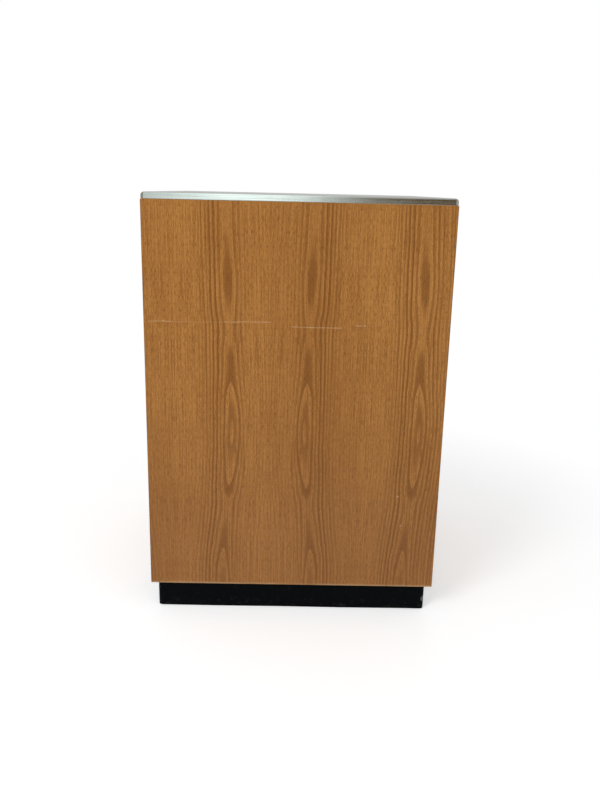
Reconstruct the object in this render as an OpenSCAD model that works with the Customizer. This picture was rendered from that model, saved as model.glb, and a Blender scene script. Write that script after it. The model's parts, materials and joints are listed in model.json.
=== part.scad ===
// Book drop box: an oak-veneered cabinet with a folded steel top, a deposit slot with an
// inward-swinging flap, a locked access door and a spring-lift platform inside.
// Millimetres. +Z is up, the slot and the door face -Y, and the plain face is at +Y.
// The origin is the bottom centre of the whole box, pull included.

/* [Overall] */
// Width across the side panels
body_w = 630; // [520:1:760]
// Depth from the front face to the plain back face
body_d = 610; // [500:1:740]
// Height from the floor to the steel top
total_h = 914; // [760:1:1100]
// Height of the recessed plinth
plinth_h = 64; // [48:1:90]
// How far the plinth is set back on every side
plinth_inset = 13; // [6:1:25]

/* [Panels] */
// Thickness of the veneered panels
panel_t = 19; // [15.5:0.5:23]
// Thickness of the edge bands
band_t = 1; // [0.5:0.1:2]
// Gap round the door, also the room for the two hinge leaves
door_gap = 3; // [2.6:0.1:4]
// Height of the front panel that holds the slot
front_panel_h = 277; // [240:1:330]
// Side of the square cleats under the top and in the rear corners
cleat = 20; // [16:1:26]

/* [Plinth] */
// Thickness of the wrapped base strip
strip_t = 3; // [2:0.5:5]
// Outer corner radius of the base strip
strip_r = 9; // [6:0.5:14]
// How far the levelling feet lift the plinth off the floor
foot_lift = 1; // [0.5:0.5:4]
// Radius of a levelling foot's pad
foot_pad_r = 15; // [10:1:20]
// Radius of a levelling foot's stud
foot_stud_r = 4; // [3:0.5:5]
// Side of a plinth corner block
block = 44; // [36:1:60]

/* [Steel top] */
// Height of the folded steel skirt
cap_skirt = 14; // [10:0.5:22]
// Thickness of the steel sheet
cap_sheet = 1.2; // [0.8:0.1:2]
// Outside radius of the folds
cap_bend = 7; // [4:0.5:9]
// Shadow line between the skirt and the panels
cap_reveal = 0.8; // [0.4:0.1:2]

/* [Slot and flap] */
// Clear width of the deposit slot
slot_w = 420; // [340:1:450]
// Clear height of the deposit slot
slot_h = 110; // [80:1:132]
// Drop from the top of the front panel to the slot
slot_drop = 69; // [60:1:90]
// Width of the bezel's flange round the slot
bezel_flange = 20; // [14:1:26]
// Sheet thickness of the bezel, flap and chute
sheet = 1.5; // [1:0.1:2]
// How far the bezel's sleeve stands out behind the panel
bezel_back = 4.5; // [3:0.5:8]
// Side lap of the flap over the slot
flap_lap = 12; // [10:1:18]
// Lap of the flap below the slot
flap_drop = 6; // [4:1:8]
// Height of the flap's axis above the slot
pivot_rise = 9; // [8:0.5:12]
// Radius of the flap's rod
rod_r = 3; // [2.5:0.25:4]

/* [Chute] */
// How far the chute reaches in from the front panel
chute_run = 110; // [80:1:140]
// How far the chute falls over its run
chute_fall = 60; // [40:1:80]
// Height of the chute's cheeks
cheek_h = 22; // [12:1:30]
// Height of the chute's mounting flange
chute_flange = 30; // [24:1:40]

/* [Door] */
// Height of one hinge
hinge_h = 76; // [60:1:100]
// Thickness of a hinge leaf
leaf_t = 1.2; // [0.9:0.1:1.3]
// Depth of a hinge leaf behind the face
leaf_d = 16; // [12:0.5:18]
// Outer radius of the hinge knuckles
knuckle_r = 4; // [3.5:0.25:5]
// Radius of the hinge pins
pin_r = 1.5; // [1.25:0.25:2]
// Distance from the door's ends to its hinges
hinge_set = 70; // [40:1:120]
// How far the pull stands out from the door
pull_proj = 28; // [24:1:40]
// Distance between the pull's two legs
pull_span = 128; // [96:1:160]
// Radius of the pull's bar
pull_r = 5; // [4:0.5:7]
// Distance from the latch edge to the pull and the lock
latch_set = 45; // [36:1:60]
// Distance from the door's top edge to the lock
lock_drop = 35; // [28:1:50]
// Distance from the lock down to the middle of the pull
pull_drop = 151.5; // [120:0.5:180]

/* [Lock] */
// Radius of the lock body
lock_r = 9.5; // [8:0.5:12]
// Radius of the turning plug
plug_r = 6.5; // [5:0.5:8]
// Reach of the cam from the plug's axis
cam_reach = 50; // [44:1:64]
// Width of the cam
cam_w = 16; // [12:1:20]

/* [Platform] */
// Drop from the chute's lower end to the mat when the platform is empty
pile_room = 132; // [100:1:200]
// Thickness of the platform board
board_t = 15; // [12:1:18]
// Thickness of the mat on the board
mat_t = 6; // [4:0.5:10]
// Width of a guide rail
rail_w = 20; // [16:1:26]
// Depth of a guide rail
rail_d = 11; // [9:0.5:14]
// Wall of a guide rail
rail_wall = 2; // [1.5:0.25:3]
// Height of a guide shoe
shoe_h = 60; // [40:1:80]
// Mean radius of the lift springs
spring_r = 25; // [18:1:32]
// Radius of the spring wire
wire_r = 2; // [1.5:0.25:3]
// Number of turns of a lift spring
spring_turns = 13; // [9:1:18]

/* [Fits] */
// Radial running clearance of the pins, rods and the plug
running = 0.05; // [0.02:0.01:0.1]
// Gap between a moving piece and what it rests against
rest_gap = 0.4; // [0.3:0.05:0.8]

/* [Show] */
// Piece to draw

/* [Hidden] */
$fn = 48;

// Main planes
half_w = body_w / 2;
in_w = half_w - panel_t;
front_y = (pull_proj - body_d) / 2;
back_y = front_y + body_d;
panel_back = front_y + panel_t;
back_in = back_y - panel_t;
low_z = plinth_h;
high_z = total_h - cap_skirt;
deck_z = low_z + panel_t;
deck_front = panel_back + 2 + rest_gap;

// Screws
wood_screw_r = 2;
wood_head_r = 3.8;
wood_head_h = 2.2;
csk_head_r = 3.6;

// Steel top
core_clear = 0.1;
top_screw_l = cleat + cap_skirt - 4;
cleat_screw_x = in_w - cleat / 2;
cleat_screw_y = [panel_back + 90, (panel_back + back_in) / 2, back_in - 90];

// Plinth
plinth_x = half_w - plinth_inset;
plinth_y0 = front_y + plinth_inset;
plinth_y1 = back_y - plinth_inset;
board_x = plinth_x - strip_t;
board_y0 = plinth_y0 + strip_t;
board_y1 = plinth_y1 - strip_t;
foot_x = board_x - panel_t - block / 2;
foot_y = [board_y0 + panel_t + block / 2, board_y1 - panel_t - block / 2];
foot_pad_h = 5;
block_z0 = foot_pad_h + 4;

// Slot
slot_z1 = high_z - slot_drop;
slot_z0 = slot_z1 - slot_h;
slot_r = 6;
sleeve_w = slot_w + 2 * sheet;
sleeve_h = slot_h + 2 * sheet;
cut_clear = 0.5;
flange_w = slot_w + 2 * bezel_flange;
flange_h = slot_h + 2 * bezel_flange;
bezel_hole_x = slot_w / 2 + bezel_flange / 2 + 1;
bezel_hole_z = slot_h / 2 + bezel_flange / 2 + 1;
slot_mid = (slot_z0 + slot_z1) / 2;
bezel_holes = [for (s = [-1, 1], x = [-1, 0, 1]) [x * bezel_hole_x * 0.94, slot_mid + s * bezel_hole_z]];
flush_screw_l = 15;

// Flap
tube_r = rod_r + 1.5;
pivot_y = panel_back + tube_r + 1;
pivot_z = slot_z1 + pivot_rise;
flap_y = panel_back + bezel_back + 2;
flap_hw = slot_w / 2 + flap_lap;
flap_z0 = slot_z0 - flap_drop;
flap_lip = 8;
bumper_r = 3.5;
bumper_x = flap_hw - bumper_r - 1;
bracket_t = 2;
bracket_x = flap_hw + 5;
bracket_foot = 20;
bracket_h = 24;
bracket_out = pivot_y + tube_r + 1.5;
bracket_screw_x = bracket_x + bracket_t + bracket_foot / 2;
inner_screw_l = 16;

// Chute
chute_z = slot_z0 - flap_drop - 3;
chute_hw = flap_hw + 6;
chute_holes = [for (x = [-0.8, 0, 0.8]) [x * chute_hw, chute_z - chute_flange + 8]];

// Door and hinges
door_x = in_w - door_gap;
door_z0 = low_z + door_gap;
panel_z0 = high_z - front_panel_h;
door_z1 = panel_z0 - door_gap;
hinge_x = -in_w + door_gap / 2;
hinge_y = front_y - knuckle_r;
hinge_z = [door_z0 + hinge_set, door_z1 - hinge_set - hinge_h];
knuckles = 5;
knuckle_gap = 0.3;
knuckle_h = hinge_h / knuckles;
hinge_hole_y = front_y + leaf_d * 0.56;
hinge_hole_z = [hinge_h * 0.16, hinge_h * 0.5, hinge_h * 0.84];
hinge_screw_l = 15;
latch_x = door_x - latch_set;
pull_bend = 10;
pull_screw_r = 2;
pull_screw_in = 12;

// Lock
lock_z = door_z1 - lock_drop;
pull_z = lock_z - pull_drop;
lock_out = 1.5;
lock_back = panel_back + 8;
lock_flange_r = lock_r + 2;
cam_t = 2.5;
cam_y = lock_back + rest_gap;
tail_s = 6;
nut_t = 4;
nut_r = lock_r + 5;
strike_t = cam_y - panel_back - 1;
strike_w = 34;
strike_h = 26;
strike_holes = [for (s = [-1, 1]) [latch_x + s * 11, panel_z0 + strike_h / 2]];

// Door stop and catch
stop_w = 12;
stop_y = deck_front;
stop_z0 = deck_z + 20;
stop_z1 = panel_z0 + 30;
stop_d = 14;
stop_holes = [stop_z0 + 60, stop_z1 - 60];
stop_bumper_z = [stop_z0 + 30, door_z1 - 30];
stop_bumper_r = 4.5;
catch_w = 46;
catch_h = 12;
catch_x = latch_x - 60;
catch_plate_t = 1;
catch_y0 = panel_back + catch_plate_t + rest_gap;
catch_y1 = catch_y0 + 16;

// Platform
platform_z = chute_z - chute_fall - pile_room;
board_z1 = platform_z - mat_t;
board_z0 = board_z1 - board_t;
rail_x = in_w - rail_d;
side_room = 6;
board_hw = rail_x - side_room;
board_y_front = panel_back + 16;
board_y_back = back_in - cleat - 4;
rail_y = [board_y_front + 130, board_y_back - 130];
rail_z0 = deck_z + 30;
rail_z1 = board_z1 + 30;
shoe_clear = 0.4;
shoe_w = rail_w - 2 * rail_wall - 2 * shoe_clear;
shoe_x1 = in_w - rail_wall - shoe_clear;
shoe_z1 = board_z1 + 5;
shoe_z0 = shoe_z1 - shoe_h;
rail_stop_z = shoe_z1 + rest_gap;
rail_stop_h = 12;
rail_holes = [rail_z0 + 20, (rail_z0 + rail_z1) / 2, rail_z1 - 8];
shoe_bracket_t = 2;
shoe_bracket_in = 36;
shoe_bracket_down = board_z0 - shoe_z0 - 4;
shoe_screw_r = 2;
shoe_screw_l = 9;
spring_x = board_hw - 90;
spring_y = [board_y_front + 70, board_y_back - 70];
seat_t = 3;
seat_r = spring_r + 7;
seat_boss_r = spring_r - wire_r - 2;
seat_boss_h = 12;
spring_z0 = deck_z + seat_t;
spring_z1 = board_z0 - seat_t;
wire_sides = 6;
turn_steps = 18;
dead_turns = 1;

// Colours
oak = [0.63, 0.43, 0.24];
oak_band = [0.55, 0.37, 0.20];
ply = [0.72, 0.58, 0.40];
brushed = [0.72, 0.76, 0.77];
vinyl = [0.03, 0.03, 0.035];
zinc = [0.70, 0.71, 0.72];
black_rubber = [0.05, 0.05, 0.05];
alloy = [0.80, 0.81, 0.82];
nylon = [0.90, 0.89, 0.85];
mat_grey = [0.20, 0.21, 0.23];

// ---------- shared shapes ----------

module block_at(x0, x1, y0, y1, z0, z1) {
    translate([x0, y0, z0])
        cube([x1 - x0, y1 - y0, z1 - z0]);
}

module bar_x(x0, x1, y, z, r) {
    translate([x0, y, z])
        rotate([0, 90, 0])
            cylinder(r = r, h = x1 - x0);
}

module bar_y(x, y0, y1, z, r) {
    translate([x, y0, z])
        rotate([-90, 0, 0])
            cylinder(r = r, h = y1 - y0);
}

module bar_z(x, y, z0, z1, r) {
    translate([x, y, z0])
        cylinder(r = r, h = z1 - z0);
}

// A rectangle centred on the origin with four round corners
module round_rect(w, h, r) {
    square([w - 2 * r, h], center = true);
    square([w, h - 2 * r], center = true);
    for (sx = [-1, 1], sy = [-1, 1])
        translate([sx * (w / 2 - r), sy * (h / 2 - r)])
            circle(r = r);
}

// A rectangle standing on the X axis with its two upper corners round
module arched_rect(w, h, r) {
    translate([-w / 2, 0])
        square([w, h - r]);
    translate([-w / 2 + r, 0])
        square([w - 2 * r, h]);
    for (s = [-1, 1])
        translate([s * (w / 2 - r), h - r])
            circle(r = r);
}

// Stands a flat outline up in the XZ plane, between two depths
module upright(y0, y1) {
    translate([0, y1, 0])
        rotate([90, 0, 0])
            linear_extrude(height = y1 - y0)
                children();
}

// The folded shape of the top: two arched profiles crossed, with round corners in plan
module top_form(inset, z0, z1, r) {
    w = body_w - 2 * inset;
    d = body_d - 2 * inset;
    mid_y = (front_y + back_y) / 2;
    intersection() {
        translate([0, mid_y, z0])
            upright(-d / 2, d / 2)
                arched_rect(w, z1 - z0, r);
        translate([0, mid_y, z0])
            rotate([0, 0, 90])
                upright(-w / 2, w / 2)
                    arched_rect(d, z1 - z0, r);
        translate([0, mid_y, z0])
            linear_extrude(height = z1 - z0)
                round_rect(w, d, r);
    }
}

// A pan-head screw pointing down: head above the origin, shank below it
module pan_screw(r, head_r, head_h, l) {
    difference() {
        union() {
            cylinder(r = head_r, h = head_h);
            translate([0, 0, -l])
                cylinder(r = r, h = l + 0.1);
        }
        for (a = [0, 90])
            rotate([0, 0, a])
                translate([-head_r * 0.55, -0.4, head_h * 0.45])
                    cube([head_r * 1.1, 0.8, head_h]);
    }
}

// A countersunk screw pointing down, its head flush with the origin's plane
module csk_screw(r, head_r, sink, l) {
    difference() {
        union() {
            translate([0, 0, -sink])
                cylinder(r1 = r, r2 = head_r, h = sink);
            translate([0, 0, -l])
                cylinder(r = r, h = l - sink);
        }
        for (a = [0, 90])
            rotate([0, 0, a])
                translate([-head_r * 0.6, -0.35, -sink * 0.6])
                    cube([head_r * 1.2, 0.7, sink]);
    }
}

module sink_cone(r, head_r, sink) {
    translate([0, 0, -sink])
        cylinder(r1 = r, r2 = head_r, h = sink);
}

module face_front() {
    rotate([90, 0, 0])
        children();
}

module face_back() {
    rotate([-90, 0, 0])
        children();
}

// ---------- where the screws and the holes go ----------

module at_inner_screws() {
    for (s = [-1, 1], z = [-bracket_h / 4, bracket_h / 4])
        translate([s * bracket_screw_x, panel_back + bracket_t, pivot_z + z])
            face_back()
                children();
    for (h = chute_holes)
        translate([h[0], panel_back + sheet, h[1]])
            face_back()
                children();
    at_stop_screws()
        children();
    for (s = [-1, 1])
        translate([catch_x + s * catch_w * 0.34, (catch_y0 + catch_y1) / 2, deck_z + catch_h])
            children();
}

module at_rail_screws() {
    for (s = [-1, 1], y = rail_y, z = rail_holes)
        translate([s * (in_w - rail_wall), y, z])
            rotate([0, -s * 90, 0])
                children();
}

module at_stop_screws() {
    for (z = stop_holes)
        translate([in_w - stop_w, stop_y + stop_d / 2, z])
            rotate([0, -90, 0])
                children();
}

module inner_shank() {
    translate([0, 0, -inner_screw_l])
        cylinder(r = wood_screw_r, h = inner_screw_l);
}

module inner_screw_shanks() {
    at_inner_screws()
        inner_shank();
}

module at_hinge_screws_side() {
    for (hz = hinge_z, z = hinge_hole_z)
        translate([-in_w + leaf_t, hinge_hole_y, hz + z])
            rotate([0, 90, 0])
                children();
}

module at_hinge_screws_door() {
    for (hz = hinge_z, z = hinge_hole_z)
        translate([-door_x - leaf_t, hinge_hole_y, hz + z])
            rotate([0, -90, 0])
                children();
}

module hinge_shank() {
    translate([0, 0, -hinge_screw_l])
        cylinder(r = wood_screw_r, h = hinge_screw_l);
}

module at_top_screws() {
    for (s = [-1, 1], y = cleat_screw_y)
        translate([s * cleat_screw_x, y, high_z - cleat])
            rotate([180, 0, 0])
                children();
}

module top_shank() {
    translate([0, 0, -top_screw_l])
        cylinder(r = wood_screw_r, h = top_screw_l);
}

module at_bezel_screws() {
    for (h = bezel_holes)
        translate([h[0], front_y - sheet, h[1]])
            face_front()
                children();
}

module at_strike_screws() {
    for (h = strike_holes)
        translate([h[0], panel_back + strike_t, h[1]])
            face_back()
                children();
}

module flush_shank() {
    translate([0, 0, -flush_screw_l])
        cylinder(r = wood_screw_r, h = flush_screw_l);
}

// ---------- carcass ----------

module side_panel_left() {
    color(oak)
        difference() {
            block_at(-half_w, -in_w, front_y + band_t, back_in, low_z, high_z);
            at_hinge_screws_side()
                hinge_shank();
            at_rail_screws()
                inner_shank();
        }
}

module side_panel_right() {
    color(oak)
        difference() {
            block_at(in_w, half_w, front_y + band_t, back_in, low_z, high_z);
            at_rail_screws()
                inner_shank();
            at_stop_screws()
                inner_shank();
        }
}

// The bands on the front edges of both sides and on the lower edge of the front panel
module front_edge_bands() {
    color(oak_band) {
        for (s = [0, 1])
            mirror([s, 0, 0])
                block_at(in_w, half_w, front_y, front_y + band_t, low_z, high_z);
        block_at(-in_w, in_w, front_y, panel_back, panel_z0, panel_z0 + band_t);
    }
}

module back_panel() {
    color(oak)
        block_at(-half_w + band_t, half_w - band_t, back_in, back_y, low_z + band_t, high_z);
}

module back_edge_bands() {
    color(oak_band) {
        for (s = [0, 1])
            mirror([s, 0, 0])
                block_at(half_w - band_t, half_w, back_in, back_y, low_z, high_z);
        block_at(-half_w + band_t, half_w - band_t, back_in, back_y, low_z, low_z + band_t);
    }
}

module front_panel() {
    color(oak)
        difference() {
            block_at(-in_w, in_w, front_y, panel_back, panel_z0 + band_t, high_z);
            translate([0, 0, slot_mid])
                upright(front_y - 1, panel_back + 1)
                    round_rect(sleeve_w + 2 * cut_clear, sleeve_h + 2 * cut_clear, slot_r + sheet);
            at_bezel_screws()
                flush_shank();
            at_strike_screws()
                flush_shank();
            inner_screw_shanks();
        }
}

module deck_panel() {
    color(ply)
        difference() {
            block_at(-in_w, in_w, deck_front, back_in, low_z, deck_z);
            inner_screw_shanks();
        }
}

module top_core() {
    color(ply)
        difference() {
            top_form(cap_sheet + core_clear, high_z, total_h - cap_sheet, cap_bend - cap_sheet);
            at_top_screws()
                top_shank();
        }
}

module steel_top() {
    color(brushed)
        difference() {
            intersection() {
                top_form(0, high_z, total_h, cap_bend);
                block_at(-half_w, half_w, front_y, back_y, high_z + cap_reveal, total_h);
            }
            top_form(cap_sheet, high_z - 1, total_h - cap_sheet, cap_bend - cap_sheet);
        }
}

module top_cleats() {
    color(ply)
        difference() {
            union() {
                for (s = [0, 1])
                    mirror([s, 0, 0])
                        block_at(in_w - cleat, in_w, panel_back, back_in, high_z - cleat, high_z);
                block_at(-in_w + cleat, in_w - cleat, panel_back, panel_back + cleat,
                    high_z - cleat, high_z);
                block_at(-in_w + cleat, in_w - cleat, back_in - cleat, back_in,
                    high_z - cleat, high_z);
            }
            at_top_screws()
                top_shank();
        }
}

module top_screws() {
    color(zinc)
        at_top_screws()
            pan_screw(wood_screw_r, wood_head_r, wood_head_h, top_screw_l);
}

// Square strips glued into the two rear corners
module corner_strips() {
    color(ply)
        for (s = [0, 1])
            mirror([s, 0, 0])
                block_at(in_w - cleat, in_w, back_in - cleat, back_in, deck_z, high_z - cleat);
}

// ---------- plinth ----------

module plinth_plan(x, y0, y1, r) {
    translate([0, (y0 + y1) / 2])
        round_rect(2 * x, y1 - y0, r);
}

module plinth_long_board(y0, y1) {
    intersection() {
        block_at(-board_x, board_x, y0, y1, foot_lift, low_z);
        translate([0, 0, foot_lift])
            linear_extrude(height = low_z - foot_lift)
                plinth_plan(board_x, board_y0, board_y1, strip_r - strip_t);
    }
}

module plinth_front() {
    color(ply)
        plinth_long_board(board_y0, board_y0 + panel_t);
}

module plinth_back() {
    color(ply)
        plinth_long_board(board_y1 - panel_t, board_y1);
}

module plinth_sides() {
    color(ply)
        for (s = [0, 1])
            mirror([s, 0, 0])
                block_at(board_x - panel_t, board_x, board_y0 + panel_t, board_y1 - panel_t,
                    foot_lift, low_z);
}

module plinth_blocks() {
    color(ply)
        for (s = [-1, 1], y = foot_y)
            difference() {
                block_at(s * foot_x - block / 2, s * foot_x + block / 2, y - block / 2,
                    y + block / 2, block_z0, low_z);
                bar_z(s * foot_x, y, block_z0 - 1, low_z + 1, foot_stud_r + running);
            }
}

module leveling_feet() {
    color(zinc)
        for (s = [-1, 1], y = foot_y) {
            bar_z(s * foot_x, y, 0, foot_pad_h, foot_pad_r);
            bar_z(s * foot_x, y, foot_pad_h, low_z - 10, foot_stud_r);
        }
}

module base_strip() {
    color(vinyl)
        translate([0, 0, foot_lift])
            linear_extrude(height = low_z - foot_lift - 0.5)
                difference() {
                    plinth_plan(plinth_x, plinth_y0, plinth_y1, strip_r);
                    plinth_plan(board_x, board_y0, board_y1, strip_r - strip_t);
                }
}

// ---------- slot, flap and chute ----------

module slot_bezel() {
    color(brushed)
        difference() {
            translate([0, 0, slot_mid]) {
                upright(front_y - sheet, front_y)
                    round_rect(flange_w, flange_h, slot_r + bezel_flange / 2);
                upright(front_y - sheet, panel_back + bezel_back)
                    round_rect(sleeve_w, sleeve_h, slot_r + sheet);
            }
            translate([0, 0, slot_mid])
                upright(front_y - sheet - 1, panel_back + bezel_back + 1)
                    round_rect(slot_w, slot_h, slot_r);
            at_bezel_screws()
                sink_cone(wood_screw_r, csk_head_r, sheet);
        }
}

module flush_screws() {
    color(zinc) {
        at_bezel_screws()
            csk_screw(wood_screw_r, csk_head_r, sheet, flush_screw_l);
        at_strike_screws()
            csk_screw(wood_screw_r, csk_head_r, sheet, flush_screw_l);
    }
}

module flap_rod() {
    color(zinc)
        bar_x(-bracket_x - bracket_t - 3, bracket_x + bracket_t + 3, pivot_y, pivot_z, rod_r);
}

// An angle at each end of the rod: an ear that holds it and a foot on the panel
module rod_brackets() {
    color(zinc)
        for (s = [0, 1])
            mirror([s, 0, 0])
                difference() {
                    union() {
                        block_at(bracket_x, bracket_x + bracket_t, panel_back, bracket_out,
                            pivot_z - bracket_h / 2, pivot_z + bracket_h / 2);
                        block_at(bracket_x, bracket_x + bracket_t + bracket_foot, panel_back,
                            panel_back + bracket_t, pivot_z - bracket_h / 2,
                            pivot_z + bracket_h / 2);
                    }
                    bar_x(bracket_x - 1, bracket_x + bracket_t + 1, pivot_y, pivot_z,
                        rod_r + running);
                    inner_screw_shanks();
                }
}

module flap_bumpers() {
    color(black_rubber)
        for (s = [-1, 1], z = [slot_z0 + 12, slot_z1 - 25])
            bar_y(s * bumper_x, panel_back, flap_y - rest_gap, z, bumper_r);
}

// The flap hangs from a rolled tube and has a lip folded inwards along its lower edge
module flap_plate() {
    color(brushed)
        difference() {
            union() {
                bar_x(-flap_hw, flap_hw, pivot_y, pivot_z, tube_r);
                block_at(-flap_hw, flap_hw, flap_y, flap_y + sheet, flap_z0, pivot_z);
                block_at(-flap_hw, flap_hw, flap_y, flap_y + flap_lip, flap_z0, flap_z0 + sheet);
            }
            bar_x(-flap_hw - 1, flap_hw + 1, pivot_y, pivot_z, rod_r + running);
        }
}

module chute() {
    slope = chute_fall / chute_run;
    drop_t = sheet * sqrt(1 + slope * slope);
    plate = [
        [0, 0], [chute_run, -chute_fall], [chute_run, -chute_fall - drop_t],
        [sheet, -slope * sheet - drop_t], [sheet, -chute_flange], [0, -chute_flange]
    ];
    cheek = [
        [sheet, -slope * sheet - drop_t], [sheet, cheek_h * 0.3], [cheek_h, cheek_h * 0.55],
        [chute_run, cheek_h - chute_fall], [chute_run, -chute_fall - drop_t]
    ];
    color(zinc)
        difference() {
            union() {
                translate([-chute_hw, panel_back, chute_z])
                    rotate([90, 0, 90])
                        linear_extrude(height = 2 * chute_hw)
                            polygon(plate);
                for (x = [-chute_hw, chute_hw - sheet])
                    translate([x, panel_back, chute_z])
                        rotate([90, 0, 90])
                            linear_extrude(height = sheet)
                                polygon(cheek);
            }
            inner_screw_shanks();
        }
}

module inner_screws() {
    color(zinc)
        at_inner_screws()
            pan_screw(wood_screw_r, wood_head_r, wood_head_h, inner_screw_l);
}

// ---------- door ----------

module door_cuts() {
    at_hinge_screws_door()
        hinge_shank();
    bar_y(latch_x, front_y - 1, panel_back + 1, lock_z, lock_r + 0.2);
    for (s = [-1, 1])
        bar_y(latch_x, front_y - 1, panel_back + 1, pull_z + s * pull_span / 2, pull_screw_r);
}

module door_panel() {
    color(oak)
        difference() {
            block_at(-door_x + band_t, door_x - band_t, front_y, panel_back, door_z0 + band_t,
                door_z1 - band_t);
            door_cuts();
        }
}

module door_edge_bands() {
    color(oak_band)
        difference() {
            union() {
                for (z = [door_z0, door_z1 - band_t])
                    block_at(-door_x, door_x, front_y, panel_back, z, z + band_t);
                for (s = [0, 1])
                    mirror([s, 0, 0])
                        block_at(door_x - band_t, door_x, front_y, panel_back,
                            door_z0 + band_t, door_z1 - band_t);
            }
            door_cuts();
        }
}

// One knuckle, or the room round it, on a hinge that starts at a given height
module knuckle(hz, i, r, extra) {
    bar_z(hinge_x, hinge_y, hz + i * knuckle_h + knuckle_gap / 2 - extra,
        hz + (i + 1) * knuckle_h - knuckle_gap / 2 + extra, r);
}

module hinge_leaf(hz, own, other, x0, x1) {
    difference() {
        union() {
            difference() {
                block_at(x0, x1, hinge_y, front_y + leaf_d, hz, hz + hinge_h);
                for (i = other)
                    knuckle(hz, i, knuckle_r + rest_gap, knuckle_gap);
            }
            for (i = own)
                knuckle(hz, i, knuckle_r, 0);
        }
        bar_z(hinge_x, hinge_y, hz - 1, hz + hinge_h + 1, pin_r + running);
    }
}

module hinge_leaves_side() {
    color(zinc)
        difference() {
            for (hz = hinge_z)
                hinge_leaf(hz, [0, 2, 4], [1, 3], -in_w, -in_w + leaf_t);
            at_hinge_screws_side()
                sink_cone(wood_screw_r, csk_head_r, leaf_t);
        }
}

module hinge_leaves_door() {
    color(zinc)
        difference() {
            for (hz = hinge_z)
                hinge_leaf(hz, [1, 3], [0, 2, 4], -door_x - leaf_t, -door_x);
            at_hinge_screws_door()
                sink_cone(wood_screw_r, csk_head_r, leaf_t);
        }
}

module hinge_pins() {
    color(zinc)
        for (hz = hinge_z) {
            bar_z(hinge_x, hinge_y, hz - 0.5, hz + hinge_h + 0.5, pin_r);
            for (z = [hz - 2, hz + hinge_h + 0.5])
                bar_z(hinge_x, hinge_y, z, z + 1.5, pin_r + 1);
        }
}

module hinge_screws_side() {
    color(zinc)
        at_hinge_screws_side()
            csk_screw(wood_screw_r, csk_head_r, leaf_t, hinge_screw_l);
}

module hinge_screws_door() {
    color(zinc)
        at_hinge_screws_door()
            csk_screw(wood_screw_r, csk_head_r, leaf_t, hinge_screw_l);
}

// A round bar bent into a bow, with a tapped hole up each leg
module door_pull() {
    bar_out = front_y - pull_proj + pull_r;
    color(brushed)
        difference() {
            union() {
                bar_z(latch_x, bar_out, pull_z - pull_span / 2 + pull_bend,
                    pull_z + pull_span / 2 - pull_bend, pull_r);
                for (s = [0, 1])
                    translate([latch_x, 0, pull_z])
                        mirror([0, 0, s]) {
                            bar_y(0, bar_out + pull_bend, front_y, pull_span / 2, pull_r);
                            translate([0, bar_out + pull_bend, pull_span / 2 - pull_bend])
                                rotate([0, 90, 0])
                                    rotate([0, 0, 180])
                                        rotate_extrude(angle = 90)
                                            translate([pull_bend, 0])
                                                circle(r = pull_r);
                        }
            }
            for (s = [-1, 1])
                bar_y(latch_x, front_y - pull_screw_in, front_y + 1,
                    pull_z + s * pull_span / 2, pull_screw_r);
        }
}

module pull_screws() {
    color(zinc)
        for (s = [-1, 1])
            translate([latch_x, panel_back, pull_z + s * pull_span / 2])
                face_back()
                    pan_screw(pull_screw_r, wood_head_r, wood_head_h, panel_t + pull_screw_in - 1);
}

// ---------- lock ----------

module lock_body() {
    color(brushed)
        difference() {
            union() {
                bar_y(latch_x, front_y - lock_out, front_y, lock_z, lock_flange_r);
                bar_y(latch_x, front_y, lock_back, lock_z, lock_r);
            }
            bar_y(latch_x, front_y - lock_out - 1, lock_back + 1, lock_z, plug_r + running);
        }
}

module lock_nut() {
    color(zinc)
        difference() {
            translate([latch_x, panel_back, lock_z])
                face_back()
                    cylinder(r = nut_r, h = nut_t, $fn = 6);
            bar_y(latch_x, panel_back - 1, panel_back + nut_t + 1, lock_z, lock_r + running);
        }
}

// The plug turns in the body and has a square tail for the cam
module lock_plug() {
    color(zinc)
        difference() {
            union() {
                bar_y(latch_x, front_y - lock_out, lock_back, lock_z, plug_r);
                block_at(latch_x - tail_s / 2, latch_x + tail_s / 2, lock_back, cam_y + cam_t,
                    lock_z - tail_s / 2, lock_z + tail_s / 2);
            }
            block_at(latch_x - 0.6, latch_x + 0.6, front_y - lock_out - 1, front_y + 8,
                lock_z - 4, lock_z + 4);
            bar_y(latch_x, lock_back - 6, cam_y + cam_t + 1, lock_z, 1.5);
        }
}

module lock_cam() {
    color(zinc)
        difference() {
            union() {
                bar_y(latch_x, cam_y, cam_y + cam_t, lock_z, cam_w / 2);
                block_at(latch_x - cam_reach, latch_x, cam_y, cam_y + cam_t, lock_z - cam_w / 2,
                    lock_z + cam_w / 2);
            }
            block_at(latch_x - tail_s / 2, latch_x + tail_s / 2, cam_y - 1, cam_y + cam_t + 1,
                lock_z - tail_s / 2, lock_z + tail_s / 2);
        }
}

module cam_screw() {
    color(zinc)
        translate([latch_x, cam_y + cam_t, lock_z])
            face_back()
                pan_screw(1.5, 5, 2, 8);
}

// The block behind the front panel that the cam turns up behind
module lock_strike() {
    color(zinc)
        difference() {
            block_at(latch_x - strike_w / 2, latch_x + strike_w / 2, panel_back,
                panel_back + strike_t, panel_z0, panel_z0 + strike_h);
            at_strike_screws() {
                sink_cone(wood_screw_r, csk_head_r, sheet);
                flush_shank();
            }
        }
}

// ---------- door stop and catch ----------

module door_stop() {
    color(ply)
        difference() {
            block_at(in_w - stop_w, in_w, stop_y, stop_y + stop_d, stop_z0, stop_z1);
            at_stop_screws()
                inner_shank();
        }
}

module door_bumpers() {
    color(black_rubber)
        for (z = stop_bumper_z)
            bar_y(in_w - stop_w / 2, panel_back + rest_gap, stop_y, z, stop_bumper_r);
}

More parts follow.
